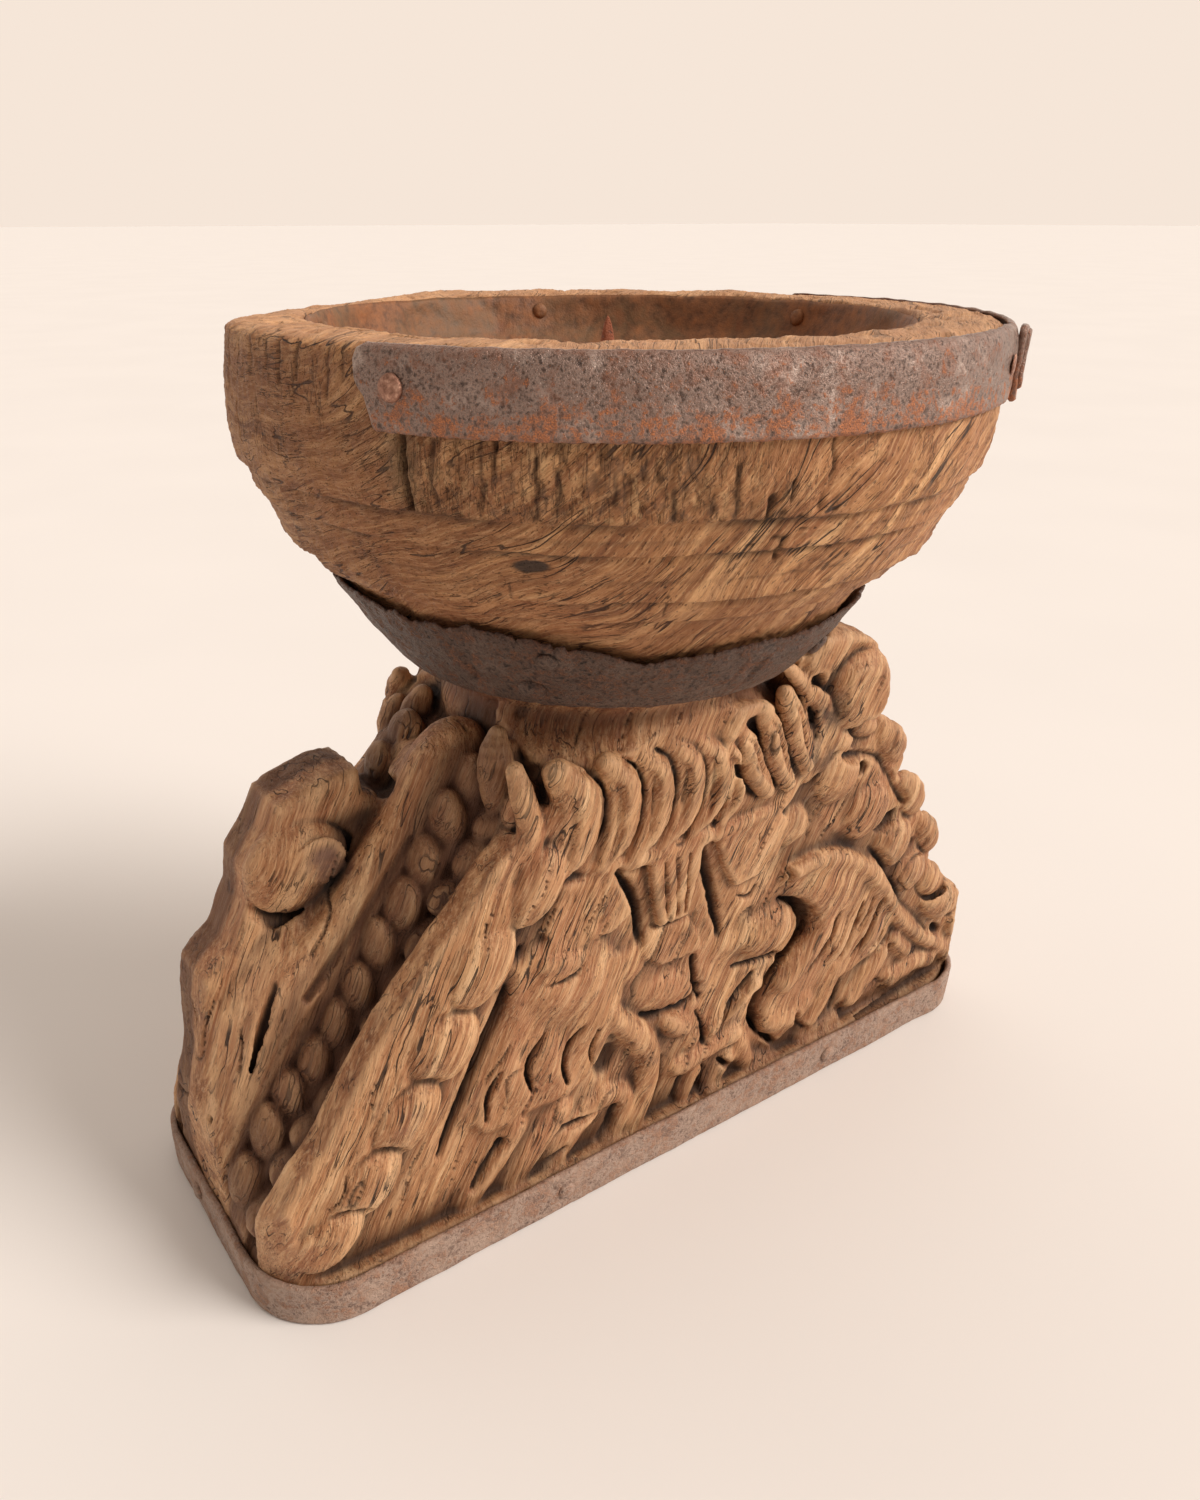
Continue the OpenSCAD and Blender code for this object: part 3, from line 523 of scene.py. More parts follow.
    # left form with crescents
    slabf([(-62, 92), (-50, 97), (-32, 91), (-22, 80), (-22, 66), (-27, 56), (-31, 42), (-42, 37), (-58, 37), (-72, 36), (-77, 44), (-69, 58), (-62, 74)], 47.6, k=2.0, rnd=3.5)
    ell((-42, -43, 78), (17, 8.0, 13), -28, k=2.5)
    ell((-46, -46.5, 88), (9.5, 4.2, 4.6), -10, k=1.0)
    stroke([(-36, 88, 0.8), (-42, 83.5, 1.1), (-52, 83, 1.1), (-57, 86, 0.8)], top=50.5, depth=2.2, k=0.8)
    ell((-34, -43.5, 62), (11, 6.0, 13), -20, k=2.5)
    ell((-49, -43.5, 55), (7, 6.0, 14), 14, k=2.5)
    ell((-62, -42.5, 52), (6.5, 5.6, 13), 18, k=2.5)
    ell((-20, -42, 76), (8, 5.4, 9), 0, k=1.6)
    stroke([(-50, 67, 0.8), (-54.5, 61, 1.7), (-57, 54, 2.1), (-55, 45, 1.2)], top=50, depth=6.5, k=0.6)
    stroke([(-38, 63, 0.8), (-42.5, 58, 1.7), (-44.5, 51, 2.1), (-42.3, 42, 1.2)], top=50, depth=6.5, k=0.6)
    stroke([(-33, 60, 0.8), (-34.5, 51, 1.5), (-32, 41, 1.2)], top=50, depth=5.0, k=0.7)
    stroke([(-66, 58, 0.8), (-70, 50, 1.4), (-71, 42, 1.0)], top=48.5, depth=4.5, k=0.7)
    ell((-27, -47, 43), (4.6, 5.0, 6.5), -14, k=1.6, cut=True)
    ridge([(-27, 61, 3.0), (-19, 52, 4.4), (-13, 43, 5.0), (-11, 33, 5.0), (-13, 22, 4.6), (-18, 12, 4.0)], top=50.0, k=2.5)

    # foot of the panel on the left
    ridge([(-60, 34, 4.0), (-68, 24, 4.6), (-78, 14, 4.2)], top=48.2)
    ridge([(-44, 32, 4.6), (-54, 22, 5.4), (-62, 13, 4.6)], top=48.6)
    ridge([(-28, 30, 4.6), (-40, 22, 5.4), (-48, 12, 4.6)], top=48.8)
    ridge([(-22, 28, 4.6), (-20, 20, 4.8), (-28, 11, 4.6)], top=49.0)
    stroke([(-66, 31, 2.6), (-71, 25, 2.0), (-76, 19, 1.4)], top=48, depth=5, k=1.0)
    stroke([(-50, 22, 1.2), (-44, 25, 1.8), (-34, 25.5, 1.6), (-28, 25, 1.0)], top=49, depth=4.5, k=0.8)
    stroke([(-24, 24, 1.8), (-26, 18, 2.6), (-30, 14, 1.6)], top=49, depth=5, k=1.0)
    stroke([(-52, 14, 1.2), (-44, 18, 1.4)], top=49, depth=3.5, k=0.8)
    stroke([(-5, 34, 1.6), (-5.5, 24, 2.0), (-9, 14, 1.6)], top=48, depth=5.5, k=1.0)
    # middle foot: pads and hollows
    ridge([(2, 27, 3.4), (14, 28, 4.0), (27, 30, 3.4)], top=48.8)
    ridge([(16, 36, 2.6), (24, 41, 3.4), (34, 47, 3.0)], top=48.4)
    stroke([(20, 36, 1.4), (24, 43, 2.0), (33, 51, 1.6)], top=47, depth=4.5, k=0.8)
    stroke([(9, 46, 1.0), (12, 40, 1.4), (13, 32, 1.2)], top=47, depth=4.0, k=0.7)
    ridge([(5, 14, 3.0), (10, 22, 3.2)], top=48.4)
    ridge([(18, 13, 3.4), (25, 21, 3.4)], top=48.4)
    ridge([(30, 24, 3.6), (34, 14, 4.2), (44, 11, 4.2)], top=48.6)
    stroke([(1, 14, 1.4), (4.5, 22, 2.0)], top=48, depth=5, k=0.8)
    stroke([(12, 13, 1.6), (14, 20, 1.8)], top=48, depth=5, k=0.8)
    stroke([(21, 21, 1.4), (24, 18, 1.4)], top=48, depth=4, k=0.8)
    # creature on the right: arched back, round head, deep hollow between
    slabf([(40, 82), (42, 90), (52, 91.5), (64, 89), (76, 83), (86, 74), (95, 63), (102, 50), (100, 42), (92, 36), (80, 32), (68, 30), (56, 20), (44, 14), (38, 22), (36, 32),
           (40, 42), (50, 46), (57, 55), (60, 64), (56, 74), (49, 79)], 47.5, k=1.5, rnd=3.5)
    ridge([(43, 87, 2.4), (54, 88, 3.0), (66, 85, 3.2), (77, 78.5, 3.2), (87, 69, 3.0), (96, 57, 2.4)], top=50.6, k=3)
    ell((64, -43.5, 74), (20, 7.6, 13), -32, k=3.0)
    ell((84, -43, 58), (14, 6.6, 12), -52, k=3.0)
    stroke([(41.5, 89, 1.0), (43, 84, 1.4), (40.5, 80, 1.0)], top=49.5, depth=4, k=0.7)
    stroke([(53, 84, 0.8), (51.5, 79, 1.1)], top=51, depth=3, k=0.5)
    ell((36, -42, 67), (14, 9.0, 10), -8, k=1.6)
    ell((22, -41, 67), (10, 6.0, 7.5), 10, k=1.6)
    stroke([(41, 77, 1.2), (49, 73, 2.4), (54.5, 65, 3.6), (53, 56, 4.4), (46, 50, 3.6), (40, 44, 3.4), (36, 36, 3.6), (37, 29, 3.2), (42, 22, 2.0), (46, 17, 1.2)], top=48, depth=12, k=1.6)
    stroke([(24, 57, 1.4), (34, 56, 2.0), (44, 54, 2.4)], top=48, depth=6, k=1.2)
    ridge([(47, 43, 4.2), (55, 50, 5.0), (61, 58, 4.6), (62, 67, 4.0)], top=50.6, k=3)
    ell((72, -43.5, 50), (8, 6.4, 13), 24, k=3.0)
    ell((88, -43, 47), (8, 6.0, 12), 30, k=3.0)
    stroke([(69, 64, 0.8), (66.5, 55, 1.7), (62.5, 47, 2.2), (58, 42, 1.2)], top=50.5, depth=6.0)
    stroke([(80, 64, 0.8), (78, 55, 1.7), (74, 46, 2.3), (70, 41, 1.2)], top=50, depth=6.0)
    stroke([(75, 66, 0.6), (73, 58, 1.0), (70, 51, 0.8)], top=50.5, depth=2.6)
    stroke([(90, 62, 0.8), (88, 54, 1.7), (84, 45, 2.2), (80, 40, 1.2)], top=49.8, depth=5.6)
    stroke([(85, 64, 0.6), (83, 57, 1.0), (80, 50, 0.8)], top=50, depth=2.6)
    stroke([(96, 50, 1.0), (94, 43, 1.8), (88, 40, 1.2)], top=49, depth=3.5, k=0.8)
    ridge([(44, 27, 5.0), (52, 26, 5.6), (58, 30, 4.6)], top=49.4, k=2)
    ridge([(62, 20, 4.4), (69, 30, 5.2), (72, 38, 4.0)], top=49.4, k=2)
    ridge([(60, 13, 4.0), (76, 13, 4.4)], top=48.8, k=2)
    ridge([(84, 20, 4.6), (91, 28, 5.2), (98, 34, 4.4)], top=49.2, k=2)
    ridge([(106, 20, 4.6), (118, 22, 4.6), (128, 20, 4.0)], top=48.6, k=2)
    ridge([(104, 38, 3.4), (112, 30, 3.4)], top=48.4)
    stroke([(54, 27, 1.4), (56, 22, 2.0), (60, 18, 1.4)], top=49.5, depth=4.5, k=0.8)
    stroke([(78, 30, 2.0), (77, 24, 3.0), (75, 19, 2.0)], top=49, depth=6.5, k=1.0)
    stroke([(102, 36, 2.2), (100, 31, 2.8), (97, 28, 1.4)], top=49, depth=6.5, k=1.0)
    stroke([(80, 15, 1.6), (92, 19, 2.0), (100, 21, 1.6)], top=48.5, depth=4.5, k=0.9)
    stroke([(86, 11, 1.2), (110, 12, 1.4), (136, 16, 1.2)], top=48.5, depth=3.5, k=0.8)

    # ------------- raised figures of the back panel: a fan of long leaves and side scrolls
    for j in range(-3, 4):
        x0, x1 = j * 12.0, j * 25.0
        chain([(x0, 42, 102, 3.2), ((x0 + x1) / 2, 42.6, 74, 7.0), (x1, 42, 44, 5.4), (x1 + j * 2, 42, 34, 3.0)], k=0.8)
        stroke([(x0 * 1.05, 98, 0.7), ((x0 + x1) / 2, 72, 1.2), (x1 * 1.02, 42, 0.7)], side=1, top=50.5, depth=2.6, k=0.5)
    for j in range(-4, 5):
        ridge([(j * 24.0 - 7, 24, 3.4), (j * 24.0 + 1, 20, 4.6), (j * 24.0 + 9, 26, 3.4)], side=1, top=48.4)
        stroke([(j * 24.0 + 12, 28, 1.2), (j * 24.0 + 12, 18, 1.8)], side=1, top=48, depth=5, k=0.8)

    # neck and seat of the bowl
    lathe([(118, 45), (143, 47.6), (147, 47), (150, 45.3), (153, 45), (156, 46.6), (157.3, 48.2), (158.0, 46.6), (160, 48), (162.6, 51), (163, 51)], k=1.6)
    # room for the collar and bowl
    lathe([(158.6, 60.5), (160, 63), (164, 66.5), (171, 71.5), (180, 77), (190, 84)], k=0.4, cut=True)
    lathe([(156.0, 46.6), (157.3, 48.2), (158.0, 46.6), (160, 48), (162.6, 51), (163, 51)], k=0.4)
    # keep everything inside the foot's plan
    qx = np.abs(AX[0] - BX)[:, None] - (143.2 - 23)
    qy = np.abs(AX[1])[None, :] - (51.8 - 23)
    plan = np.minimum(np.maximum(qx, qy), 0) + np.sqrt(np.maximum(qx, 0) ** 2 + np.maximum(qy, 0) ** 2) - 23
    VOL[:] = np.maximum(VOL, plan[:, :, None].astype(F32))
    # mortise
    def hole(X, Y, Z):
        return np.maximum(np.sqrt(X ** 2 + Y ** 2) - 19.4, 128 - Z)
    apply(hole, (-20, -20, 128), (20, 20, 169), 0.0, cut=True)
    VOL[:, :, :] = np.maximum(VOL, (0.0 - AX[2])[None, None, :])


def box_blur(A, r):
    for ax in range(3):
        A = np.moveaxis(A, ax, 0)
        n = A.shape[0]
        pad = np.concatenate([np.repeat(A[:1], r + 1, 0), A, np.repeat(A[-1:], r, 0)], 0)
        c = np.cumsum(pad, 0, dtype=F32)
        A = (c[2 * r + 1:] - c[:-2 * r - 1]) / (2 * r + 1)
        A = np.moveaxis(A[:n], 0, ax)
    return np.ascontiguousarray(A)


def sample(A, P):
    q = (P - LO) / H
    i = np.clip(np.floor(q).astype(int), 0, np.array(A.shape) - 2)
    f = (q - i).astype(F32)
    out = 0
    for dx in (0, 1):
        for dy in (0, 1):
            for dz in (0, 1):
                w = (f[:, 0] if dx else 1 - f[:, 0]) * (f[:, 1] if dy else 1 - f[:, 1]) * (f[:, 2] if dz else 1 - f[:, 2])
                out = out + w * A[i[:, 0] + dx, i[:, 1] + dy, i[:, 2] + dz]
    return out


FIB_BLOCK = (0.46, 0.10, 0.88)
FIB_BOWL = (0.766, 0.643, 0.06)


def fibre(P, f):
    a, b, c = axes_from(f)
    return np.stack([P @ a, P @ b, P @ c], -1)


def block_mesh(mat):
    build_block()
    g = openvdb.FloatGrid(40.0)
    g.copyFromArray(VOL)
    g.transform = openvdb.createLinearTransform(voxelSize=H)
    pts, quads = g.convertToQuads(isovalue=0.0)
    V = np.asarray(pts, float) + LO
    Q = np.asarray(quads, np.int32)
    a, b, c, d = (V[Q[:, i]] for i in range(4))
    vol = np.einsum("ij,ij->i", a, np.cross(b, c)).sum() + np.einsum("ij,ij->i", a, np.cross(c, d)).sum()
    if vol < 0:
        Q = Q[:, ::-1]
    # hollows and edges, from how full the space round each point is
    occ = np.clip(0.5 - VOL / (2 * H), 0, 1).astype(F32)
    r1, r2 = max(1, round(1.8 / H)), max(2, round(6.5 / H))
    s1 = box_blur(box_blur(occ, r1), r1)
    s2 = box_blur(box_blur(occ, r2), r2)
    n = vert_normals(V, Q)
    P = V
    up = smooth(P[:, 2], 1.5, 4.0)
    carved = up * smooth(P[:, 2], 2, 15)
    fib = fibre(P, FIB_BLOCK)
    w = np.stack([fbm(P / 22.0 + 5 * k, 40 + 7 * k, 2) for k in range(3)], -1)
    fw = fib + 3.0 * w
    disp = 0.34 * carved * fbm(P / 12.0, 3, 2)
    disp += 0.11 * up * fbm(P / 3.6, 9, 2)
    disp += 0.22 * carved * (0.5 - 1.6 * np.abs(noise(fib * np.array([0.13, 0.13, 0.045]), 15)))
    g1 = fbm(fw * np.array([0.36, 0.15, 0.018]), 21, 3, 0.6)
    disp += 0.34 * carved * g1
    g2 = noise(fw * np.array([0.10, 0.04, 0.006]), 31)
    cracks_and_ledge_shade = smooth(1 - np.abs(g2) / 0.030, 0.0, 1.0) * smooth(noise(P / 24.0, 77), 0.05, 0.30)
    disp -= 1.0 * carved * cracks_and_ledge_shade
    ck2 = np.zeros(len(P))
    V2 = V + n * disp[:, None]
    V2[:, 2] = np.maximum(V2[:, 2], 0.0)
    V2[V[:, 2] < 1.2, 2] = np.minimum(V2[V[:, 2] < 1.2, 2], 0.9)
    cav = sample(s1, P) * 2 - 1
    cavl = sample(s2, P) * 2 - 1
    att = {"cav": cav, "cavl": cavl, "cracks_and_ledge_shade": np.clip(cracks_and_ledge_shade + ck2, 0, 1) * carved}
    return make("carved_block", V2, Q, [mat], att)


# ------------------------------------------------------------------ bowl
OUT = [(163.2, 50.0), (163.6, 57.0), (164, 59.5), (171, 64.4), (176, 67.4), (180, 70.2), (184.5, 72.8), (187.6, 75.0), (188.5, 76.2), (188.9, 78.4), (190.2, 80.0), (193, 82.4),
       (195.2, 84.0), (195.7, 86.6), (196.8, 87.8), (199.5, 88.6), (203.5, 90.2), (207.3, 91.8), (207.8, 93.3), (210, 94.1), (214.5, 95.2), (215.0, 96.8), (216.4, 97.4), (220, 98.2), (224, 98.9),
       (229, 99.0), (236, 98.6), (242, 97.8), (245.5, 96.8), (247, 95.8), (248, 94.2)]
_oz = np.array([q[0] for q in OUT])
_or = np.array([q[1] for q in OUT])


def wood_r(z):
    return np.interp(z, _oz, _or)


def rim_wear(az):
    """How far the worn rear-left stretch of the rim is reduced, 0 to 1. az in degrees, -180 to 180."""
    a = np.where(az < -100, az + 360, az)
    return smooth(a, 90, 112) * (1 - smooth(a, 126, 166))


def bowl_mesh(mat):
    nu = 1180
    step = 0.62
    prof = [(0, 219.0), (44, 219.0), (60, 223.0), (70, 232.0), (75.2, 238.0), (76.4, 244.0), (77.4, 246.6), (78.6, 247.7), (81, 248.0), (88, 248.1), (93.5, 247.9), (95.6, 247.4),
            (97.1, 246.4)] + [(r, z) for z, r in OUT[::-1][3:]] + [(0, 163.2)]
    prof = np.array(prof, float)
    pts = []
    for i in range(len(prof) - 1):
        a, b = prof[i], prof[i + 1]
        fine = i >= 4 and i < len(prof) - 3
        n = max(1, int(np.ceil(np.linalg.norm(b - a) / (step if fine else 6.0))))
        for k in range(n):
            pts.append(a + (b - a) * k / n)
    pts.append(prof[-1])
    pr = np.array(pts)
    # relax the profile a little so turned edges are soft
    q = pr.copy()
    q[1:-1] = pr[1:-1] * 0.8 + (pr[:-2] + pr[2:]) * 0.1
    pr = q
    nv = len(pr)
    az = np.linspace(-180, 180, nu, endpoint=False)
    A, J = np.meshgrid(az, np.arange(nv), indexing="ij")
    R = pr[J, 0]
    Z = pr[J, 1]
    t = np.gradient(pr, axis=0)
    nr, nz = -t[:, 1], t[:, 0]
    ln = np.maximum(np.hypot(nr, nz), 1e-9)
    nr, nz = (nr / ln)[J], (nz / ln)[J]
    # outward: the profile runs from the well over the rim and down the side
    nr, nz = np.where(True, nr, nr), nz
    rad = np.radians(A)
    P = np.stack([R * np.cos(rad), R * np.sin(rad), Z], -1).reshape(-1, 3)
    a = A.ravel()
    z = Z.ravel()
    r = R.ravel()
    outer = ((J.ravel() > np.argmax(pr[:, 0] * 0 + (pr[:, 1] > 247.9) * np.arange(nv))) & (z > 163.3)).astype(float)
    side = outer * smooth(r, 60, 64)
    top = smooth(z, 246.8, 247.6) * (r > 76)
    d = np.zeros(len(P))
    s1 = fbm(P / 16.0, 2, 2)
    d += 0.55 * s1 * np.maximum(side, top)
    d += 0.09 * fbm(P / 2.4, 5, 2) * np.maximum(side, top)
    # fibrous, chipped belt under the strap at the front
    belt = smooth(z, 215.2, 216.2) * (1 - smooth(z, 231, 234)) * smooth(a, -153.2, -151.6) * (1 - smooth(a, -120, -98)) * side
    q = np.stack([a * 1.72, z, 0 * z], -1)
    chips = fbm(np.stack([a * 1.72 / 2.6, z / 6.5, r * 0], -1), 51, 3, 0.6)
    d += belt * (-0.55 + 0.55 * chips)
    d -= belt * 0.45 * smooth(noise(np.stack([a * 1.72 / 1.5, z / 6.0, 0 * z + 3], -1), 55), 0.32, 0.6)
    belt_wide = smooth(z, 215, 217) * (1 - smooth(z, 232, 234)) * side
    d -= belt_wide * 0.12 * smooth(noise(np.stack([a * 1.72 / 1.7, z / 5.0, 0 * z + 9], -1), 57), 0.25, 0.6)
    # turned lines below, each with a painted shadow line that is strongest under the deeper ledges
    ledge_shade_and_cracks = np.zeros(len(P))
    for zz, dep, wd in ((214.9, 0.75, 0.75), (207.7, 0.80, 0.65), (211.5, 0.15, 0.5), (201.8, 0.18, 0.5), (195.6, 1.0, 0.8), (188.7, 0.9, 0.8), (192.4, 0.20, 0.5), (184.0, 0.25, 0.6)):
        wob = 0.35 * noise(np.stack([a / 9.0, 0 * a + zz, 0 * a], -1), 61)
        ln_ = side * np.exp(-((z - zz - wob) / wd) ** 2)
        d -= dep * ln_
        ledge_shade_and_cracks = np.maximum(ledge_shade_and_cracks, (0.9 if dep > 0.3 else 0.3) * ln_ * smooth(noise(np.stack([a / 14.0, 0 * a + zz, 0 * a], -1), 63), -0.5, 0.3))

    def vcrack(az0, z0, z1, w, dep, wob=0.4, seed=0):
        m = (z > z0 - 2) & (z < z1 + 2) & (np.abs(a - az0) < 6) & (side > 0)
        if not m.any():
            return
        off = wob * noise(np.stack([z[m] / 4.0, 0 * z[m] + seed, 0 * z[m]], -1), 71) + 0.25 * noise(np.stack([z[m] / 1.3, 0 * z[m] + seed, 0 * z[m]], -1), 72)
        x = (a[m] - az0) * 1.72 + off
        env = smooth(z[m], z0, z0 + 1.5) * (1 - smooth(z[m], z1 - 1.5, z1))
        v = env * np.exp(-(x / w) ** 2)
        d[m] -= dep * v
        ledge_shade_and_cracks[m] = np.maximum(ledge_shade_and_cracks[m], 0.8 * v)

    vcrack(-151.6, 214.8, 233, 0.55, 3.2, 0.15, 1)
    rs = np.random.RandomState(5)
    for k, az0 in enumerate([-147.5, -141.6, -135, -132.4, -126, -119.8, -112, -105]):
        z0 = 215 + rs.rand() * 6
        z1 = min(233, z0 + 6 + rs.rand() * 11)
        vcrack(az0 + rs.rand() - 0.5, z0, z1, 0.40 + 0.15 * rs.rand(), 0.3 + 0.6 * rs.rand() ** 2, 0.9, k + 2)
    for k in range(26):
        az0 = -180 + 360 * rs.rand()
        if -96 < az0 < -62:
            continue
        z0 = 217 + 14 * rs.rand()
        vcrack(az0, z0, z0 + 4 + 8 * rs.rand(), 0.35 + 0.15 * rs.rand(), 0.5 + 0.6 * rs.rand(), 0.8, k + 30)
    for az0 in np.concatenate([np.arange(-178, -158, 4.3), np.arange(158, 180, 4.9), np.arange(30, 100, 5.1)]):
        e = rs.rand()
        vcrack(az0 + 2.4 * rs.rand(), 241 - 9 * e * e, 249, 0.36 + 0.15 * rs.rand(), 0.20 + 0.6 * rs.rand() ** 2, 0.9, int(az0) % 97)
    for az0, z0, z1, w, dep in ((-117.5, 191, 197, 0.3, 0.35), (-140, 196, 202, 0.3, 0.3), (-107.5, 214, 221, 0.5, 0.9), (-104, 205, 212, 0.5, 0.8)):
        vcrack(az0, z0, z1, w, dep, 0.6, int(-az0))

    # diagonal tear on the front right
    def pit(az0, zz, wa, wz, dep):
        x = (a - az0) * 1.72
        v = np.exp(-((x / wa) ** 2 + ((z - zz) / wz) ** 2)) * side
        d[:] -= 0.7 * dep * v
        ledge_shade_and_cracks[:] = np.maximum(ledge_shade_and_cracks, 0.7 * smooth(v, 0.45, 0.95))
    for az0, zz, wa, wz, dep in ((-107.2, 219.5, 1.3, 2.6, 1.6), (-105.6, 216.8, 1.1, 1.4, 1.4), (-103.0, 216.0, 0.9, 0.8, 1.2), (-100.8, 218.5, 0.7, 2.2, 1.1), (-105.0, 211.2, 1.6, 0.8, 1.2),
                                 (-104.2, 208.3, 1.1, 0.8, 1.2), (-103.6, 206.0, 1.2, 0.8, 1.4), (-98.5, 216.5, 0.8, 0.9, 1.0), (-96, 213, 1.2, 0.5, 0.7), (-101.5, 212.8, 2.0, 0.5, 0.8), (-108.5, 210.0, 1.8, 0.5, 0.8)):
        pit(az0, zz, wa, wz, dep)
    # dark sunken knot
    x = (a + 136.7) * 1.63
    kn = np.exp(-((x / 4.9) ** 2 + ((z - 205.0 - 0.05 * x) / 1.7) ** 2) ** 1.6) * side
    d -= 0.7 * kn
    # fibre ridges where the long grain lies along the surface
    fb = fibre(P, FIB_BOWL)
    wv = np.stack([fbm(P / 30.0 + 9 * k, 80 + k, 2) for k in range(3)], -1)
    gr = fbm((fb + 4 * wv) * np.array([0.55, 0.55, 0.03]), 85, 3, 0.6)
    d += 0.28 * gr * np.maximum(side, top * 0.8)
    # inner edge of the rim, knocked about
    inner = (r > 75) & (r < 84) & (z > 240)
    d -= inner * 0.9 * smooth(fbm(np.stack([a / 7.0, r / 5.0, 0 * a], -1), 91, 2), 0.1, 0.7)
    d -= top * 0.8 * smooth(fbm(P / 7.0, 95, 2), 0.25, 0.8)
    P2 = P + d[:, None] * np.stack([nr.ravel() * np.cos(np.radians(a)), nr.ravel() * np.sin(np.radians(a)), nz.ravel()], -1)
    # worn stretch at the rear left: lower, and drawn in
    wr = rim_wear(a) * smooth(z, 214, 246)
    rr = np.hypot(P2[:, 0], P2[:, 1])
    shrink = np.where(r > 78, wr * (5.0 + 2.0 * noise(np.stack([a / 11, 0 * a, 0 * a], -1), 97)) * smooth(r, 80, 98), 0)
    P2[:, 0] *= (rr - shrink) / np.maximum(rr, 1e-6)
    P2[:, 1] *= (rr - shrink) / np.maximum(rr, 1e-6)
    P2[:, 2] -= rim_wear(a) * smooth(z, 240, 247.5) * (0.6 + 1.4 * smooth(r, 80, 97))
    Q = grid_faces(nu, nv, wrap_u=True)
    cen = np.array([[0, 0, 219.0], [0, 0, 163.2]])
    V = P2
    n = vert_normals(V, Q)
    if (n * V)[np.argmax(r)].sum() < 0:
        Q = Q[:, ::-1]
    cav = np.clip(-d * 0.45, -1, 1)
    att = {"cav": cav, "cavl": np.clip(-d * 0.3, -1, 1), "cracks_and_ledge_shade": np.clip(ledge_shade_and_cracks + 0.25 * belt * smooth(-chips, 0.3, 0.9), 0, 1), "knot": kn, "belt": belt, "rimtop": top}
    return make("turned_bowl", V, Q, [mat], att)


# ------------------------------------------------------------------ sheet and strip iron
def sheet_strip(name, nu, nv, fn, thick, mats, extra=None, closed=False):
    """fn(u, v) -> outer surface points and outward directions; the strip gets an inner face and edges."""
    U, W = np.meshgrid(np.linspace(0, 1, nu, endpoint=not closed), np.linspace(0, 1, nv), indexing="ij")
    u, v = U.ravel(), W.ravel()
    P, D = fn(u, v)
    D = D / np.linalg.norm(D, axis=1)[:, None]
    # round the edges by thinning the last row a little
    e = np.minimum(np.minimum(v, 1 - v) * (nv - 1), 1.0)
    if not closed:
        e = np.minimum(e, np.minimum(u, 1 - u) * (nu - 1))
    P_out = P - D * ((1 - e) * thick * 0.28)[:, None]
    P_in = P - D * (thick - (1 - e) * thick * 0.28)[:, None]
    V = np.concatenate([P_out, P_in])
    n = nu * nv
    F = [grid_faces(nu, nv, wrap_u=closed), grid_faces(nu, nv, wrap_u=closed)[:, ::-1] + n]
    idx = np.arange(n).reshape(nu, nv)
    loops = []
    if closed:
        rings = [idx[:, 0], idx[::-1, -1]]
        for ring in rings:
            nxt = np.roll(ring, -1)
            loops.append(np.stack([ring, ring + n, nxt + n, nxt], -1))
    else:
        ring = np.concatenate([idx[:, 0], idx[-1, 1:], idx[-2::-1, -1], idx[0, -2:0:-1]])
        nxt = np.roll(ring, -1)
        loops.append(np.stack([ring, ring + n, nxt + n, nxt], -1))
    F += loops
    F = np.concatenate(F)
    nrm = vert_normals(V, F)
    if (nrm[:n] * D).sum() < 0:
        F = F[:, ::-1]
    att = extra(u, v, P) if extra else {}
    att = {k: np.concatenate([a, a]) for k, a in att.items()}
    return make(name, V, F, mats, att)


def polar(az, r, z):
    a = np.radians(az)
    return np.stack([r * np.cos(a), r * np.sin(a), z], -1)


def radial(az, dz=0.0):
    a = np.radians(az)
    return np.stack([np.cos(a), np.sin(a), np.zeros_like(a) + dz], -1)


def strap_surface(az, z, seed, hi=248.0):
    """Outer radius of a strap over the bowl."""
    r = np.interp(z, [225, 229, 236, 242, 245, 246.8, 248.2], [100.7, 100.7, 100.6, 100.4, 100.0, 99.4, 98.2])
    q = np.stack([az * 1.72, z, 0 * z], -1)
    r = r + 0.42 * fbm(q / 15.0, seed, 2) + 0.10 * fbm(q / 2.2, seed + 3, 2)
    return r


def front_strap(mat):
    def fn(u, v):
        z0 = 231.7 + 0.28 * noise(np.stack([u * 60, 0 * u, 0 * u], -1), 5) + 0.15 * noise(np.stack([u * 190, 0 * u, 0 * u], -1), 6)
        z1 = 247.9 + 0.30 * noise(np.stack([u * 34, 0 * u + 3, 0 * u], -1), 7) + 0.12 * noise(np.stack([u * 140, 0 * u + 3, 0 * u], -1), 8)
        z = z0 + (z1 - z0) * v
        # slanted left end with rounded corners
        zz = z - 231.7
        left = np.interp(zz, [0, 0.7, 3.2, 6.5, 8.2, 9.4, 13.2, 15.2, 16.2], [-154.3, -154.9, -155.3, -156.0, -156.9, -157.3, -157.6, -157.3, -156.2])
        right = -57.4 + 0.15 * np.sin(zz * 1.1)
        az = left + (right - left) * u
        P = polar(az, strap_surface(az, z, 101), z)
        return P, radial(az, 0.0)
    def ex(u, v, P):
        e = np.minimum(v, 1 - v)
        return {"edge": 1 - smooth(e, 0.0, 0.08), "cav": 0 * u}
    return sheet_strip("rim_strap_front_piece", 330, 34, fn, 1.7, [mat], ex)


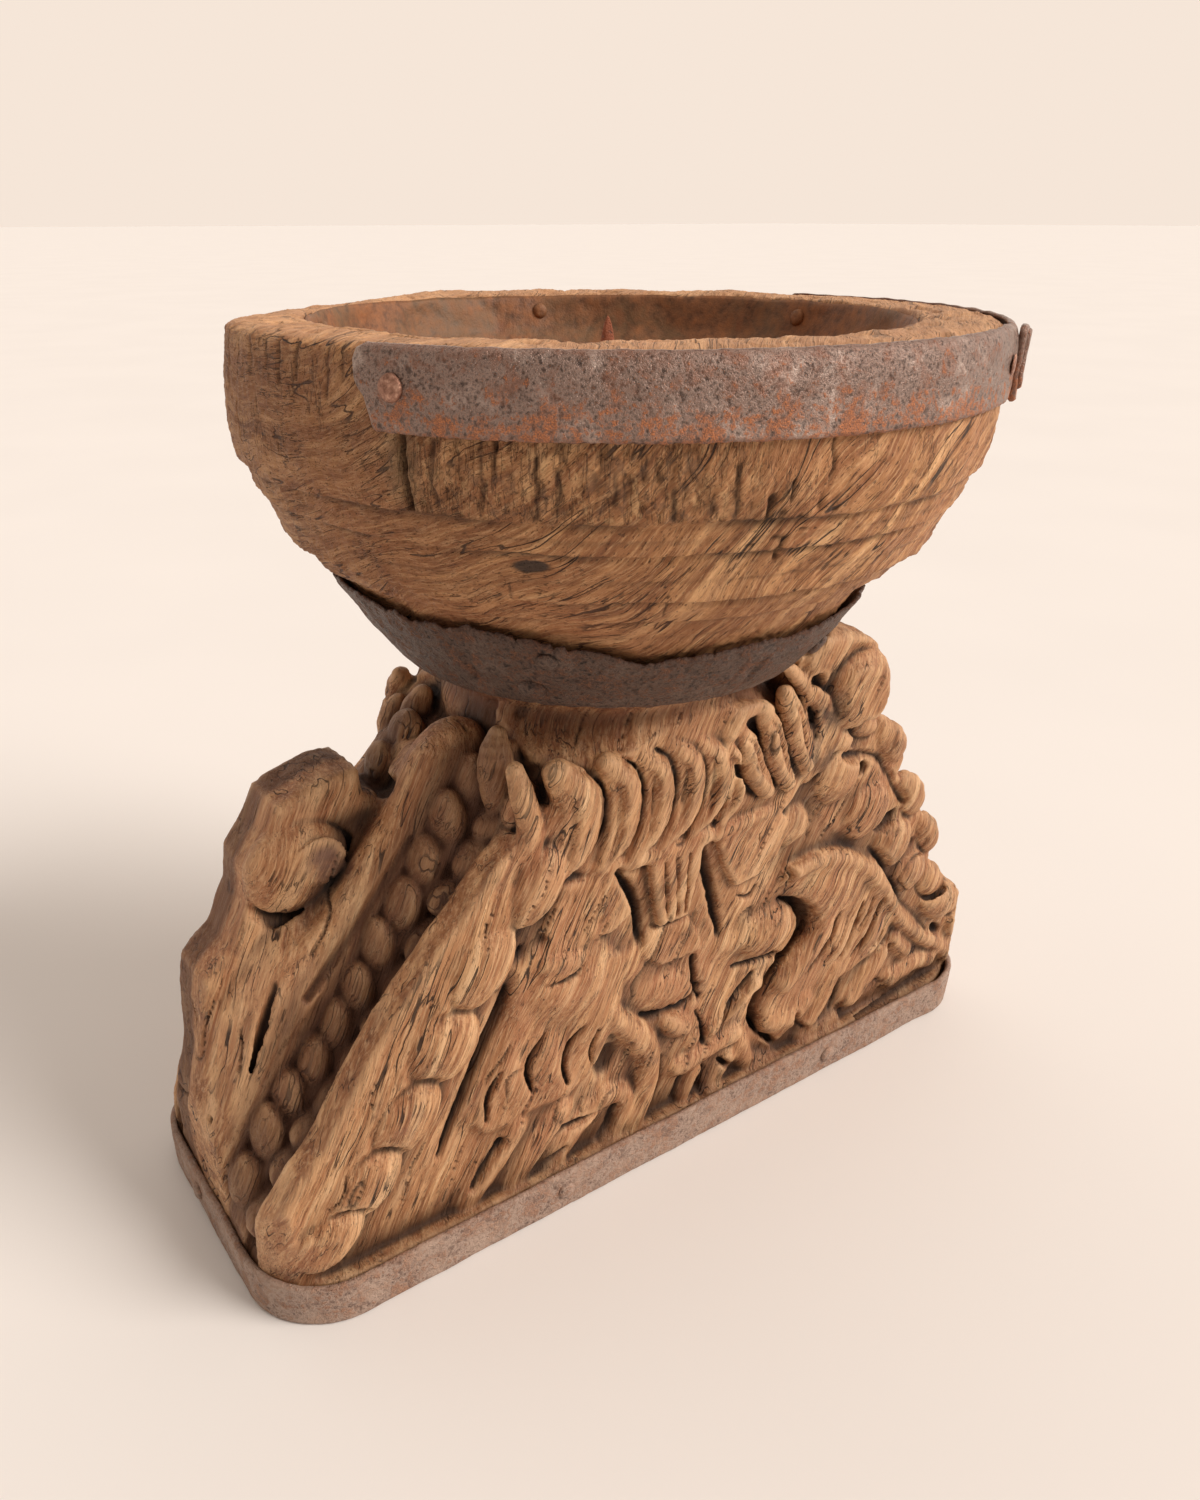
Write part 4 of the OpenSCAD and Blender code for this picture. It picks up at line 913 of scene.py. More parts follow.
def rear_strap(mat):
    def fn(u, v):
        z0 = 231.6 + 0.35 * noise(np.stack([u * 30, 0 * u, 0 * u], -1), 15)
        z1 = 247.9 + 0.30 * noise(np.stack([u * 20, 0 * u + 3, 0 * u], -1), 17)
        z = z0 + (z1 - z0) * v
        zz = z - 231.7
        right = np.interp(zz, [0, 1, 3, 8, 13, 15.2, 16.2], [15.4, 16.4, 17.0, 17.1, 16.8, 16.2, 15.0])
        left = -56.6
        az = left + (right - left) * u
        P = polar(az, strap_surface(az, z, 131), z)
        return P, radial(az)
    def ex(u, v, P):
        e = np.minimum(v, 1 - v)
        return {"edge": 1 - smooth(e, 0.0, 0.08), "cav": 0 * u}
    return sheet_strip("rim_strap_rear_piece", 260, 34, fn, 1.7, [mat], ex)


def lap_plate(name, mat, az0, az1, z0, z1, r0, curl, seed, t=1.5, fold=0.0):
    """Hammered end piece lying over the strap joint."""
    def fn(u, v):
        z = z0 + (z1 - z0) * v
        w = np.interp(v, [0, 0.08, 0.3, 0.7, 0.92, 1], [0.55, 0.8, 1.0, 0.95, 1.0, 0.8])
        m = (az0 + az1) / 2 + 0.25 * np.sin(v * 5 + seed)
        az = m + (az1 - az0) * (u - 0.5) * w
        r = r0 + curl * (1 - v) ** 2 + 0.35 * np.cos((u - 0.5) * 3.1) + 0.25 * fbm(np.stack([az * 1.7, z, 0 * z + seed], -1) / 4.0, 141, 2) - fold * smooth(v, 0.9, 1.0)
        return polar(az, r, z), radial(az)
    return sheet_strip(name, 22, 40, fn, t, [mat], lambda u, v, P: {"edge": 1 - smooth(np.minimum(u, 1 - u), 0, 0.2), "cav": 0 * u})


COLLAR_TOP = [(-180, 185.0), (-175, 184.5), (-172, 183.3), (-168, 184.8), (-165.5, 182.4), (-161, 184.2), (-157, 183.2), (-152, 184.8), (-148, 184.2), (-144, 183.8), (-140, 183.2),
              (-136, 182.2), (-131, 181.0), (-126, 180.0), (-122, 178.2), (-118.5, 176.6), (-114, 177.6), (-108, 178.4), (-102, 179.0), (-97, 180.0), (-92, 179.8), (-88, 179.3),
              (-84, 180.0), (-78, 180.4), (-70, 181.0), (-62, 181.5), (-52, 180.6), (-44, 180.0), (-36, 181.0), (-27, 181.2), (-18, 183.6), (-8, 181.6), (2, 183.4), (14, 182.0),
              (26, 184.2), (38, 182.4), (52, 184.0), (64, 181.2), (78, 183.0), (92, 184.4), (104, 182.0), (118, 183.8), (130, 182.0), (142, 184.6), (152, 185.6), (160, 185.4), (170, 185.2), (180, 185.0)]


def collar_mesh(mat):
    ta = np.array([q[0] for q in COLLAR_TOP], float)
    tz = np.array([q[1] for q in COLLAR_TOP], float)

    def fn(u, v):
        az = -180 + 360 * u
        q = np.stack([np.cos(np.radians(az)) * 14, np.sin(np.radians(az)) * 14, 0 * az], -1)
        top = np.interp(az, ta, tz) + 0.55 * noise(q * 1.7, 151) + 0.80 * noise(q * 4.1, 152) - 1.3 * smooth(noise(q * 3.0, 157), 0.35, 0.6)
        bot = 160.6 + 0.5 * noise(q * 0.8, 153) + 0.25 * noise(q * 3, 154)
        z = bot + (top - bot) * v
        r = np.interp(z, [159, 160.4, 162.8, 167.4, 173.8, 178.9, 184, 188], [56.6, 57.8, 60.2, 64.2, 69.2, 72.3, 74.9, 77.0])
        aa = np.where(az < 0, az + 360, az)
        off = smooth(aa, 130, 160) * (1 - smooth(aa, 196, 214)) * smooth(z, 172, 186) * 0.6
        off = off + 0.35 * smooth(v, 0.75, 1.0)
        r = r + off - 0.9 * smooth(noise(q * 1.1, 159), 0.25, 0.65) * smooth(v, 0.1, 0.4) * (1 - smooth(v, 0.55, 0.8)) + 0.60 * fbm(np.stack([az / 6.0, z / 5.0, 0 * z], -1), 155, 3) * (0.35 + 0.65 * v) + 0.12 * fbm(np.stack([az, z, 0 * z], -1), 158, 2)
        return polar(az, r, z), radial(az, -0.75)
    def ex(u, v, P):
        return {"edge": smooth(v, 0.9, 1.0) + (1 - smooth(v, 0.0, 0.08)), "cav": 0 * u}
    return sheet_strip("collar_sheet", 720, 40, fn, 0.95, [mat], ex, closed=True)


def band_path(s):
    """Point and outward direction at arc length s (0..1) round the foot, outer face of the band."""
    hx, hy, r = 145.5, 53.9, 25.4
    sx_, sy_ = 2 * (hx - r), 2 * (hy - r)
    q = math.pi * r / 2
    per = 2 * (sx_ + sy_) + 4 * q
    d = (s % 1.0) * per
    P = np.zeros((len(d), 2))
    D = np.zeros((len(d), 2))
    segs = [("l", sx_, (-(hx - r), -hy), (1, 0), (0, -1)), ("c", q, (hx - r, -(hy - r)), -90), ("l", sy_, (hx, -(hy - r)), (0, 1), (1, 0)), ("c", q, (hx - r, hy - r), 0),
            ("l", sx_, (hx - r, hy), (-1, 0), (0, 1)), ("c", q, (-(hx - r), hy - r), 90), ("l", sy_, (-hx, hy - r), (0, -1), (-1, 0)), ("c", q, (-(hx - r), -(hy - r)), 180)]
    a = 0.0
    for g in segs:
        m = (d >= a) & (d <= a + g[1] + 1e-9)
        t = d[m] - a
        if g[0] == "l":
            P[m] = np.array(g[2]) + t[:, None] * np.array(g[3])
            D[m] = g[4]
        else:
            an = np.radians(g[3] + t / g[1] * 90)
            D[m] = np.stack([np.cos(an), np.sin(an)], -1)
            P[m] = np.array(g[2]) + r * D[m]
        a += g[1]
    return P, D, d


def foot_band(mat):
    def fn(u, v):
        P, D, d = band_path(u)
        q = np.stack([P[:, 0], P[:, 1], 0 * d], -1)
        top = 14.3 + 0.45 * fbm(q / 28.0, 161, 2) + 0.14 * noise(q / 3.0, 163)
        # a knock near the right end of the front
        kn = np.exp(-((P[:, 0] - 108) / 9.0) ** 2) * (P[:, 1] < -40)
        top = top - 0.9 * kn
        bot = 0.0 + 0.12 * np.abs(noise(q / 6.0, 164))
        z = bot + (top - bot) * v
        o = 0.28 * fbm(np.concatenate([q[:, :2] / 18.0, (z / 10.0)[:, None]], 1), 165, 2) + 0.10 * fbm(np.concatenate([q[:, :2] / 2.4, (z / 2.4)[:, None]], 1), 167, 2)
        o = o - 0.5 * kn + 0.35 * np.exp(-((P[:, 0] - 122) / 6.0) ** 2) * (P[:, 1] < -30) * v
        xy = P + D * o[:, None]
        return np.stack([xy[:, 0] + BX, xy[:, 1], z], -1), np.stack([D[:, 0], D[:, 1], 0 * d], -1)
    def ex(u, v, P):
        return {"edge": smooth(v, 0.9, 1.0) + (1 - smooth(v, 0.0, 0.1)), "cav": 0 * u}
    return sheet_strip("foot_band_strip", 1100, 26, fn, 2.0, [mat], ex, closed=True)


def band_tongue(mat):
    def fn(u, v):
        x = 61 + 22.5 * u + 0.5 * np.sin(v * 3)
        w = np.interp(u, [0, 0.06, 0.85, 1], [0.75, 0.95, 0.95, 0.6])
        z = 7.2 + 13.4 * (v - 0.5) * w
        y = 55.5 + 0.18 * fbm(np.stack([x, z, 0 * x], -1) / 4.0, 171, 2) - 0.4 * smooth(u, 0.8, 1.0)
        return np.stack([x + BX, y, z], -1), np.stack([0 * x, 0 * x + 1, 0 * x], -1)
    return sheet_strip("foot_band_lap", 36, 22, fn, 1.6, [mat], lambda u, v, P: {"edge": 1 - smooth(np.minimum(u, 1 - u), 0, 0.1), "cav": 0 * u})


def dome(pos, nrm, r, h, seed, flat=0.35, shank=2.0, sides=28, rings=9):
    """A hand-forged nail head, with a short shank behind it."""
    n = np.array(nrm, float)
    n /= np.linalg.norm(n)
    a = np.cross(n, (0.123, 0.31, 0.94))
    a /= np.linalg.norm(a)
    b = np.cross(n, a)
    rows = []
    prof = [(0.0, 1.0), (0.16, 0.999), (0.34, 0.97), (0.52, 0.91), (0.66, 0.82), (0.78, 0.70), (0.9, 0.52), (1.0, 0.42 * (1 - flat) / 0.65), (1.02, 0.2), (1.0, 0.0)]
    # from rim (radius 1) to the crown
    prof = [(1.0, -0.10), (1.0, 0.18), (0.96, 0.42), (0.86, 0.64), (0.70, 0.82), (0.52, 0.92), (0.34, 0.97), (0.17, 0.99), (0.02, 1.0)]
    th = np.linspace(0, 2 * np.pi, sides, endpoint=False)
    lump = 1 + 0.07 * noise(np.stack([np.cos(th) * 1.1, np.sin(th) * 1.1, 0 * th + seed], -1), 181)
    P = []
    P.append(np.outer(np.cos(th) * 0.42 * r, a) + np.outer(np.sin(th) * 0.42 * r, b) - n * shank)
    P.append(np.outer(np.cos(th) * 0.42 * r, a) + np.outer(np.sin(th) * 0.42 * r, b) - n * 0.1)
    for (q, hh) in prof:
        ring = np.outer(np.cos(th) * q * r * lump, a) + np.outer(np.sin(th) * q * r * lump, b)
        dd = 0.10 * noise(np.stack([np.cos(th) * q * 1.6, np.sin(th) * q * 1.6, 0 * th + seed * 1.7], -1), 183)
        P.append(ring + np.outer(hh * h * (1 + dd), n))
    V = np.concatenate(P) + np.array(pos)
    nr = len(P)
    idx = np.arange(nr * sides).reshape(nr, sides)
    F = []
    for i in range(nr - 1):
        F.append(np.stack([idx[i], np.roll(idx[i], -1), np.roll(idx[i + 1], -1), idx[i + 1]], -1))
    return V, np.concatenate(F)


def nail_group(name, items, mat):
    V, F = join_parts([dome(*it) for it in items])
    F = np.concatenate(F)
    n = vert_normals(V, F)
    ob = make(name, V, F, [mat], {"edge": np.zeros(len(V)), "cav": np.zeros(len(V))})
    import bmesh
    bm = bmesh.new()
    bm.from_mesh(ob.data)
    bm.edges.ensure_lookup_table()
    bmesh.ops.holes_fill(bm, edges=[e for e in bm.edges if e.is_boundary], sides=64)
    bmesh.ops.recalc_face_normals(bm, faces=bm.faces)
    for f in bm.faces:
        f.smooth = True
    bm.to_mesh(ob.data)
    bm.free()
    return ob


def on_bowl(az, r, z, tilt=0.0):
    a = math.radians(az)
    return (r * math.cos(a), r * math.sin(a), z), (math.cos(a), math.sin(a), tilt)


def pan_mesh(mat):
    nu = 560
    inner = [(0, 220.2), (20, 220.2), (44, 220.4), (54, 222.0), (62, 226.0), (69, 232.6), (73.6, 238.0), (75.4, 243.0), (76.3, 246.4), (76.9, 247.2)]
    pr = []
    inner = np.array(inner, float)
    for i in range(len(inner) - 1):
        n = max(1, int(np.ceil(np.linalg.norm(inner[i + 1] - inner[i]) / (1.1))))
        for k in range(n):
            pr.append(inner[i] + (inner[i + 1] - inner[i]) * k / n)
    pr.append(inner[-1])
    pr = np.array(pr)
    for _ in range(2):
        q = pr.copy()
        q[1:-1] = pr[1:-1] * 0.5 + (pr[:-2] + pr[2:]) * 0.25
        pr = q
    nv = len(pr)
    t = np.gradient(pr, axis=0)
    nr, nz = -t[:, 1], t[:, 0]
    ln = np.hypot(nr, nz)
    nr, nz = nr / ln, nz / ln
    az = np.linspace(0, 360, nu, endpoint=False)
    A, J = np.meshgrid(az, np.arange(nv), indexing="ij")
    a = A.ravel()
    j = J.ravel()
    R, Z = pr[j, 0], pr[j, 1]
    P = polar(a, R, Z)
    d = 0.5 * fbm(P / 17.0, 191, 2) + 0.14 * fbm(P / 4.0, 193, 2)
    # creases of a hand-beaten pan on its wall
    d = d + 0.35 * smooth(R, 60, 72) * np.sin(np.radians(a) * 17 + 2 * noise(P / 30.0, 195)) * (1 - smooth(Z, 243, 247))
    d = d * smooth(R, 8.0, 14.0)
    N3 = np.stack([nr[j] * np.cos(np.radians(a)), nr[j] * np.sin(np.radians(a)), nz[j]], -1)
    Pin = P + N3 * d[:, None]
    Pin[:, 2] += smooth(R, 75.5, 77) * 0.5 * noise(np.stack([np.cos(np.radians(a)) * 6, np.sin(np.radians(a)) * 6, 0 * a], -1), 197)
    Pout = Pin - N3 * 1.1
    V = np.concatenate([Pin, Pout])
    n = nu * nv
    idx = np.arange(n).reshape(nu, nv)
    ring = idx[:, -1]
    nxt = np.roll(ring, -1)
    F = np.concatenate([grid_faces(nu, nv, wrap_u=True), grid_faces(nu, nv, wrap_u=True)[:, ::-1] + n, np.stack([ring, nxt, nxt + n, ring + n], -1)])
    nn = vert_normals(V, F)
    if (nn[:n] * N3).sum() < 0:
        F = F[:, ::-1]
    att = {"edge": np.concatenate([smooth(R, 75.8, 76.8)] * 2), "cav": np.zeros(2 * n)}
    return make("liner_pan_sheet", V, F, [mat], att)


def spike_mesh(mat):
    rows = [(220.9, 5.6), (221.6, 5.9), (222.2, 5.2), (223.2, 3.6), (224.5, 3.1), (228, 2.9), (233, 2.5), (238, 2.1), (242, 1.55), (244.5, 1.0), (246.0, 0.45), (246.6, 0.12)]
    rows = [(219.6, 5.4)] + rows
    sides = 32
    th = np.linspace(0, 2 * np.pi, sides, endpoint=False)
    P = []
    for i, (z, r) in enumerate(rows):
        sq = 1.0 / np.maximum(np.abs(np.cos(th)), np.abs(np.sin(th)))
        k = 0.55 * smooth(np.array(z), 222, 225)
        rr = r * (1 - k + k * sq * 0.92) * (1 + 0.05 * noise(np.stack([np.cos(th) * 2, np.sin(th) * 2, 0 * th + z / 3], -1), 201))
        tw = th + 0.35 + z * 0.01
        P.append(np.stack([rr * np.cos(tw) + 0.25 * math.sin(z / 9), rr * np.sin(tw), 0 * th + z], -1))
    V = np.concatenate(P)
    nr_ = len(rows)
    idx = np.arange(nr_ * sides).reshape(nr_, sides)
    F = np.concatenate([np.stack([idx[i], np.roll(idx[i], -1), np.roll(idx[i + 1], -1), idx[i + 1]], -1) for i in range(nr_ - 1)])
    ob = make("pricket_spike", V, F, [mat], {"edge": np.zeros(len(V)), "cav": np.zeros(len(V))})
    import bmesh
    bm = bmesh.new()
    bm.from_mesh(ob.data)
    bmesh.ops.holes_fill(bm, edges=[e for e in bm.edges if e.is_boundary], sides=64)
    bmesh.ops.recalc_face_normals(bm, faces=bm.faces)
    bm.to_mesh(ob.data)
    bm.free()
    return ob


# ------------------------------------------------------------------ materials
def srgb(r, g, b):
    def f(c):
        c /= 255.0
        return c / 12.92 if c <= 0.04045 else ((c + 0.055) / 1.055) ** 2.4
    return (f(r), f(g), f(b), 1.0)


class Mat:
    def __init__(self, name, spec=0.4, metallic=0.0):
        self.m = bpy.data.materials.new(name)
        self.m.use_nodes = True
        self.t = self.m.node_tree
        self.t.nodes.clear()
        self.out = self.t.nodes.new("ShaderNodeOutputMaterial")
        self.b = self.t.nodes.new("ShaderNodeBsdfPrincipled")
        self.b.inputs["Specular IOR Level"].default_value = spec
        self.b.inputs["Metallic"].default_value = metallic
        self.t.links.new(self.b.outputs[0], self.out.inputs[0])
        tc = self.t.nodes.new("ShaderNodeTexCoord")
        sc = self.t.nodes.new("ShaderNodeVectorMath")
        sc.operation = "SCALE"
        sc.inputs["Scale"].default_value = 1000.0
        self.t.links.new(tc.outputs["Object"], sc.inputs[0])
        self.P = sc.outputs[0]

    def link(self, a, b):
        self.t.links.new(a, b)

    def set(self, sock, v):
        if isinstance(v, bpy.types.NodeSocket):
            self.link(v, sock)
        else:
            sock.default_value = v

    def math(self, op, a, b=0.0, c=None, clamp=False):
        n = self.t.nodes.new("ShaderNodeMath")
        n.operation = op
        n.use_clamp = clamp
        self.set(n.inputs[0], a)
        self.set(n.inputs[1], b)
        if c is not None:
            self.set(n.inputs[2], c)
        return n.outputs[0]

    def vec(self, op, a, b=(0, 0, 0)):
        n = self.t.nodes.new("ShaderNodeVectorMath")
        n.operation = op
        self.set(n.inputs[0], a)
        self.set(n.inputs[1], b)
        return n.outputs["Value"] if op in ("DOT_PRODUCT", "LENGTH") else n.outputs[0]

    def comb(self, x, y, z):
        n = self.t.nodes.new("ShaderNodeCombineXYZ")
        for i, v in enumerate((x, y, z)):
            self.set(n.inputs[i], v)
        return n.outputs[0]

    def noise(self, P, scale, detail=3.0, rough=0.5, dist=0.0):
        n = self.t.nodes.new("ShaderNodeTexNoise")
        self.link(P, n.inputs["Vector"])
        n.inputs["Scale"].default_value = scale
        n.inputs["Detail"].default_value = detail
        n.inputs["Roughness"].default_value = rough
        n.inputs["Distortion"].default_value = dist
        return n.outputs["Fac"]

    def voro(self, P, scale, feature="F1"):
        n = self.t.nodes.new("ShaderNodeTexVoronoi")
        n.feature = feature
        self.link(P, n.inputs["Vector"])
        n.inputs["Scale"].default_value = scale
        return n.outputs["Distance"]

    def ramp(self, v, *stops):
        n = self.t.nodes.new("ShaderNodeValToRGB")
        cr = n.color_ramp
        cr.elements[0].position, cr.elements[0].color = stops[0]
        cr.elements[1].position, cr.elements[1].color = stops[-1]
        for p, c in stops[1:-1]:
            e = cr.elements.new(p)
            e.color = c
        self.set(n.inputs[0], v)
        return n.outputs[0]

    def step(self, v, a, b, lo=0.0, hi=1.0):
        n = self.t.nodes.new("ShaderNodeMapRange")
        n.interpolation_type = "SMOOTHSTEP"
        self.set(n.inputs[0], v)
        n.inputs[1].default_value = a
        n.inputs[2].default_value = b
        n.inputs[3].default_value = lo
        n.inputs[4].default_value = hi
        return n.outputs[0]

    def mix(self, f, a, b, mode="MIX"):
        n = self.t.nodes.new("ShaderNodeMix")
        n.data_type = "RGBA"
        n.blend_type = mode
        self.set(n.inputs[0], f)
        self.set(n.inputs[6], a)
        self.set(n.inputs[7], b)
        return n.outputs[2]

    def attr(self, name):
        n = self.t.nodes.new("ShaderNodeAttribute")
        n.attribute_name = name
        return n.outputs["Fac"]

    def fib(self, f, warp=3.0, wscale=0.03):
        """Coordinates in mm with Z along the grain, gently warped."""
        a, b, c = axes_from(f)
        p = self.comb(self.vec("DOT_PRODUCT", self.P, tuple(a)), self.vec("DOT_PRODUCT", self.P, tuple(b)), self.vec("DOT_PRODUCT", self.P, tuple(c)))
        n = self.t.nodes.new("ShaderNodeTexNoise")
        self.link(self.P, n.inputs["Vector"])
        n.inputs["Scale"].default_value = wscale
        n.inputs["Detail"].default_value = 2.0
        w = self.vec("SUBTRACT", n.outputs["Color"], (0.5, 0.5, 0.5))
        w = self.vec("MULTIPLY", w, (warp * 2, warp * 2, warp * 2))
        return self.vec("ADD", p, w)

    def bump(self, h, dist, strength=1.0, normal=None):
        n = self.t.nodes.new("ShaderNodeBump")
        n.inputs["Strength"].default_value = strength
        n.inputs["Distance"].default_value = dist
        self.link(h, n.inputs["Height"])
        if normal is not None:
            self.link(normal, n.inputs["Normal"])
        return n.outputs[0]


def wood(name, fibre_dir, tones, ring_axis_off=(0, 0), bowl=False):
    """Weathered wood. The grain runs along fibre_dir and the growth rings lie round an axis beside the piece."""
    M = Mat(name, spec=0.40)
    p = M.fib(fibre_dir, warp=2.6 if not bowl else 3.0, wscale=0.020 if not bowl else 0.026)
    rp = M.vec("ADD", p, (ring_axis_off[0], ring_axis_off[1], 0))
    sx = M.t.nodes.new("ShaderNodeSeparateXYZ")
    M.link(rp, sx.inputs[0])
    dist = M.vec("LENGTH", M.vec("MULTIPLY", rp, (1, 1, 0)))
    arc = M.math("MULTIPLY", M.math("ARCTAN2", sx.outputs[1], sx.outputs[0]), 120.0)
    wob = M.noise(M.P, 0.020 if not bowl else 0.016, 2.0, 0.5)
    dist = M.math("MULTIPLY_ADD", wob, 26.0, dist)
    layer = M.comb(dist, arc, sx.outputs[2]) if bowl else p

    def sc(r, a, l):
        return M.vec("MULTIPLY", layer, (r, a, l))
    ka = 0.10 if bowl else 0.40
    broad = M.noise(M.P, 0.030, 3.0, 0.55)
    patch = M.noise(M.P, 0.085, 4.0, 0.6, 0.4)
    streak = M.noise(sc(0.42, 0.42 * ka, 0.016), 1.0, 5.0, 0.66)
    wide = M.noise(sc(0.13, 0.13 * ka, 0.007), 1.0, 3.0, 0.6)
    fine = M.noise(sc(1.9, 1.9 * ka, 0.055), 1.0, 4.0, 0.68)
    hair = M.noise(sc(5.0, 5.0 * ka * 1.6, 0.16), 1.0, 2.0, 0.6)
    pores = M.step(M.noise(sc(3.0, 3.0 * min(1.0, ka * 3), 0.15), 1.0, 2.0, 0.5), 0.60, 0.70)
    # long checks that open along the grain
    ck = M.noise(sc(0.20, 0.20 * ka, 0.0075), 1.0, 2.0, 0.55)
    ck = M.step(M.math("ABSOLUTE", M.math("SUBTRACT", ck, 0.5)), 0.011, 0.003)
    ck = M.math("MULTIPLY", ck, M.step(M.noise(M.P, 0.055, 2.0, 0.5), 0.47, 0.56))
    ck2 = M.noise(sc(0.62, 0.62 * ka, 0.022), 1.0, 2.0, 0.55)
    ck2 = M.step(M.math("ABSOLUTE", M.math("SUBTRACT", ck2, 0.5)), 0.016, 0.004)
    ck2 = M.math("MULTIPLY", ck2, M.step(M.noise(M.P, 0.085, 3.0, 0.5), 0.50, 0.60))
    checks = M.math("MAXIMUM", ck, M.math("MULTIPLY", ck2, 0.8))
    ring = M.math("SINE", M.math("MULTIPLY", dist, 1.30 if bowl else 0.7))
    ring2 = M.math("SINE", M.math("MULTIPLY", dist, 3.1))
    ring = M.step(M.math("MULTIPLY_ADD", ring2, 0.45, ring), -0.9, 1.3)
    base = M.ramp(streak, (0.30, tones[0]), (0.43, tones[1]), (0.56, tones[2]), (0.72, tones[3]))
    base = M.mix(M.step(wide, 0.54, 0.40, 0.0, 0.55), base, tones[1])
    base = M.mix(M.step(wide, 0.55, 0.68, 0.0, 0.50), base, tones[3])
    base = M.mix(M.math("MULTIPLY", ring, 0.42 if bowl else 0.20), base, tones[4])
    base = M.mix(M.step(broad, 0.46, 0.66, 0.0, 0.45), base, tones[5])
    base = M.mix(M.step(patch, 0.56, 0.74, 0.0, 0.55), base, tones[6])
    base = M.mix(M.step(fine, 0.46, 0.66, 0.0, 0.38), base, tones[3])
    base = M.mix(M.step(fine, 0.44, 0.28, 0.0, 0.45), base, tones[0])
    base = M.mix(M.step(hair, 0.42, 0.30, 0.0, 0.30), base, tones[0])
    base = M.mix(M.math("MULTIPLY", pores, 0.55), base, tones[7])
    base = M.mix(M.math("MULTIPLY", checks, 0.90), base, tones[7])
    cav = M.attr("cav")
    cavl = M.attr("cavl")
    cracks_and_ledge_shade = M.attr("cracks_and_ledge_shade")
    return M, base, cav, cavl, cracks_and_ledge_shade, dict(streak=streak, fine=fine, hair=hair, pores=pores, ring=ring, patch=patch, broad=broad, sc=sc, checks=checks)


def dot_mask(M, c, r0, r1, squash=(1, 1, 1)):
    """1 within r0 of point c, fading to 0 at r1."""
    q = M.vec("MULTIPLY", M.vec("SUBTRACT", M.P, tuple(c)), squash)
    return M.step(M.vec("LENGTH", q), r1, r0)


def block_material():
    tones = [srgb(98, 58, 34), srgb(160, 108, 70), srgb(206, 156, 110), srgb(244, 204, 158), srgb(172, 112, 74), srgb(184, 124, 88), srgb(126, 82, 64), srgb(36, 20, 13)]
    M, base, cav, cavl, cracks_and_ledge_shade, k = wood("carved_wood", FIB_BLOCK, tones, (70, 45))
    # the worn eye on the ear's boss, and the charred strip beside the leaves
    eye = M.math("MULTIPLY", dot_mask(M, (-92.6, -3.5, 114.2), 3.5, 8.5), M.step(k["patch"], 0.30, 0.55, 0.35, 0.95))
    base = M.mix(M.math("MULTIPLY", eye, 0.8), base, srgb(108, 82, 78))
    char = M.math("MULTIPLY", dot_mask(M, (49, -48, 134), 6.0, 15.0, (1.6, 1, 0.8)), M.step(k["patch"], 0.34, 0.56))
    base = M.mix(M.math("MULTIPLY", char, 0.75), base, srgb(52, 38, 34))
    # painted shade: darker and redder inside the hollows, darkest in tight creases; polished and paler on what stands
    # proud
    deep = M.step(cavl, -0.02, 0.32)
    base = M.mix(M.math("MULTIPLY", deep, 0.84), base, srgb(62, 35, 20))
    tight = M.step(cav, 0.04, 0.40)
    base = M.mix(M.math("MULTIPLY", tight, 0.90), base, srgb(24, 14, 9))
    proud = M.step(cav, -0.05, -0.34)
    base = M.mix(M.math("MULTIPLY", proud, 0.50), base, srgb(232, 188, 142))
    base = M.mix(M.math("MULTIPLY", cracks_and_ledge_shade, 0.85), base, srgb(26, 15, 10))
    # the neck, under the bowl, is made dark red brown in patches
    sep = M.t.nodes.new("ShaderNodeSeparateXYZ")
    M.link(M.P, sep.inputs[0])
    xy = M.vec("LENGTH", M.vec("MULTIPLY", M.P, (1, 1, 0)))
    nk = M.math("MULTIPLY", M.step(sep.outputs[2], 145, 157), M.step(xy, 58, 52))
    nk = M.math("MULTIPLY", nk, M.step(M.noise(M.P, 0.07, 4.0, 0.6), 0.34, 0.60, 0.20, 0.80))
    base = M.mix(nk, base, srgb(132, 80, 54))
    # painted shade: the channels at both ends are darkened, most where they are hollow
    ay = M.math("ABSOLUTE", sep.outputs[1])
    channel_shade = M.math("MULTIPLY", M.step(ay, 11.5, 15.5), M.step(ay, 36.5, 32.5))
    channel_shade = M.math("MULTIPLY", channel_shade, M.step(M.math("ABSOLUTE", sep.outputs[0]), 46, 54))
    channel_shade = M.math("MULTIPLY", channel_shade, M.step(cav, -0.34, 0.02, 0.36, 0.72))
    base = M.mix(channel_shade, base, srgb(84, 50, 30))
    # darker towards the foot
    low = M.math("MULTIPLY", M.step(sep.outputs[2], 24, 10), 0.45)
    base = M.mix(low, base, srgb(92, 62, 42))
    M.link(base, M.b.inputs["Base Color"])
    rough = M.math("MULTIPLY_ADD", k["fine"], -0.22, 0.68)
    rough = M.math("ADD", rough, M.math("MULTIPLY", tight, 0.25))
    rough = M.math("SUBTRACT", rough, M.math("MULTIPLY", proud, 0.12), clamp=True)
    M.link(rough, M.b.inputs["Roughness"])
    n1 = M.bump(k["streak"], 0.0014, 0.7)
    n2 = M.bump(k["fine"], 0.00050, 0.85, n1)
    n3 = M.bump(M.math("SUBTRACT", M.math("MULTIPLY", k["hair"], 0.7), k["pores"]), 0.00018, 0.8, n2)
    n4 = M.bump(M.math("MULTIPLY", k["checks"], -1.0), 0.0006, 0.9, n3)
    M.link(n4, M.b.inputs["Normal"])
    return M.m


